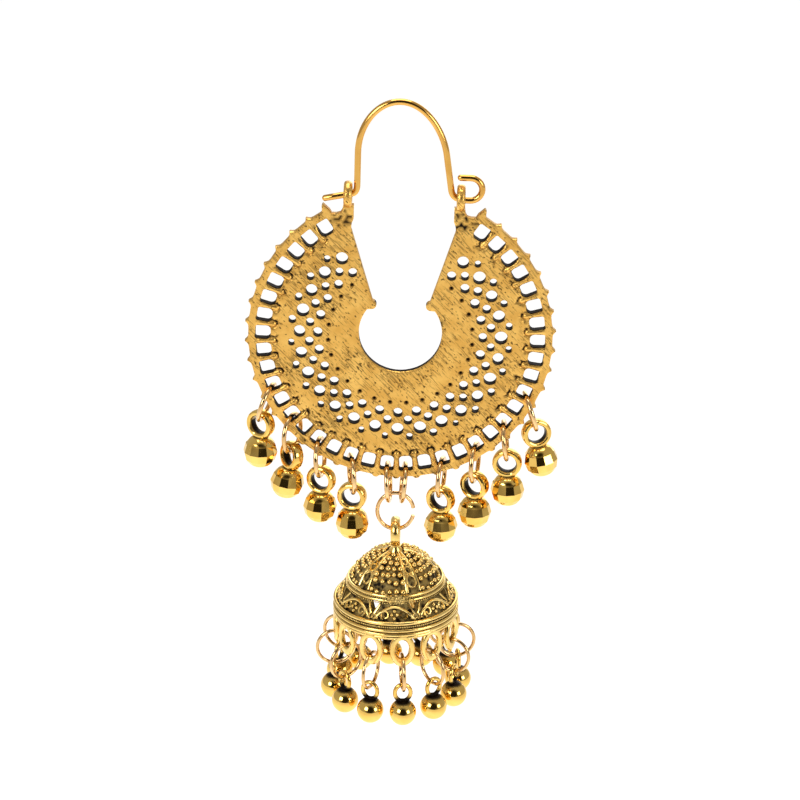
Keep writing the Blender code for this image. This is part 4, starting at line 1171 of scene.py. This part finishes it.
bell_link_radius = (BELL_LINK_OUTER - BELL_LINK_WIRE) / 2
for number in range(LOBE_COUNT):
    angle = lobe_angle(number)
    seat = lobe_middle(number)
    seat.z += -LOBE_HOLE_HEIGHT / 2 + SEAT_GAP + BELL_LINK_WIRE / 2
    turn = Matrix.Rotation(angle, 4, "Z")
    place = Matrix.Translation(seat) @ turn @ Matrix.Rotation(-BELL_LINK_LEAN, 4, "X")
    place = place @ Matrix.Translation((0, 0, -bell_link_radius))
    link = moved(jump_ring(BELL_LINK_OUTER, BELL_LINK_WIRE), plumb @ place)
    put(f"bell_ring_{number + 1}", "bell", [(link, 0.0)], link_gold, f"bell_link_{number + 1}")
    foot = place @ Vector((0, 0, -bell_link_radius))
    crown = BELL_BALL + LOOP_HEIGHT - SOLID_LOOP_WIRE
    hang = foot + Vector((0, 0, BELL_LINK_WIRE / 2 + SEAT_GAP - crown))
    place = plumb @ Matrix.Translation(hang) @ turn
    sphere = ball(BELL_BALL, 40, 26)
    seam = solder_line(sphere, 0, 0.95 * MM, 1.3 * MM)
    loop = tube(loop_path(), LOOP_WIRE / 2, 12, closed=True)
    low = [1 - smooth_step(BELL_BALL + 0.35 * MM, BELL_BALL + 0.75 * MM, v.z) for v in loop[0]]
    parts = [(moved(sphere, place), seam), (moved(loop, place), low)]
    put(f"bell_ball_{number + 1}", "bell", parts, ball_gold, f"bell_drop_{number + 1}")


# Floor, light and camera

FLOOR_HALF = 4
FLOOR_LEVEL = -0.42
corners = [(x * FLOOR_HALF, y * FLOOR_HALF, FLOOR_LEVEL) for x, y in ((-1, -1), (1, -1), (1, 1), (-1, 1))]
floor = linked("floor", mesh_of("floor", corners, [(0, 1, 2, 3)]))
white = bpy.data.materials.new("floor_white")
white.use_nodes = True
fill(white.node_tree.nodes["Principled BSDF"], Base_Color=(0.95, 0.95, 0.95, 1.0), Roughness=0.9,
     Emission_Color=(1.0, 1.0, 1.0, 1.0), Emission_Strength=0.6)
floor.data.materials.append(white)

CENTRE = Vector((0.0, 0.0, -0.045))
# Name, place, size and power of each soft light
LAMPS = (
    ("key", (-0.34, -0.42, 0.20), 0.26, 1.5),
    ("fill", (0.42, -0.34, 0.12), 0.22, 0.9),
    ("top", (0.0, 0.10, 0.50), 0.40, 1.6),
    ("back", (0.10, 0.50, 0.10), 0.40, 0.9),
)
for name, location, size, energy in LAMPS:
    lamp_data = bpy.data.lights.new(name, "AREA")
    lamp_data.size = size
    lamp_data.energy = energy
    lamp = linked(name, lamp_data)
    lamp.location = location
    lamp.rotation_mode = "QUATERNION"
    lamp.rotation_quaternion = (CENTRE - lamp.location).to_track_quat("-Z", "Y")

# Surroundings, pale but for a dark patch that the metal reflects
PALE_GREY = (0.5, 0.49, 0.47)
DARK_GREY = (0.02, 0.018, 0.015)
DARK_SIDE = (0.0, -0.93, 0.36)
world = bpy.data.worlds.new("studio")
bpy.context.scene.world = world
world.use_nodes = True
tree = world.node_tree
dot = add_node(tree, "VectorMath")
dot.operation = "DOT_PRODUCT"
feed(dot.inputs[0], add_node(tree, "TexCoord").outputs["Generated"])
feed(dot.inputs[1], DARK_SIDE)
gloom = ramp(tree, dot.outputs["Value"], 0.66, 0.9)
fill(tree.nodes["Background"], Strength=1.0, Color=mix_color(tree, gloom, PALE_GREY, DARK_GREY))

elevation, azimuth, roll = radians(23.1), radians(0.64), radians(1.76)
distance = 0.350
target = Vector((0.22 * MM, 0, -40.21 * MM))
right = Vector((cos(azimuth), sin(azimuth), 0))
level = cos(elevation)
backward = Vector((level * sin(azimuth), -level * cos(azimuth), sin(elevation)))
up = backward.cross(right)
camera_data = bpy.data.cameras.new("camera")
camera_data.sensor_width = 36.0
camera_data.lens = 119.9
camera_data.clip_start = 0.01
camera = linked("camera", camera_data)
rolled_right = right * cos(roll) + up * sin(roll)
rolled_up = up * cos(roll) - right * sin(roll)
matrix = Matrix((rolled_right, rolled_up, backward)).transposed().to_4x4()
matrix.translation = target + backward * distance
camera.matrix_world = matrix
bpy.context.scene.camera = camera
bpy.context.scene.view_settings.view_transform = "Standard"
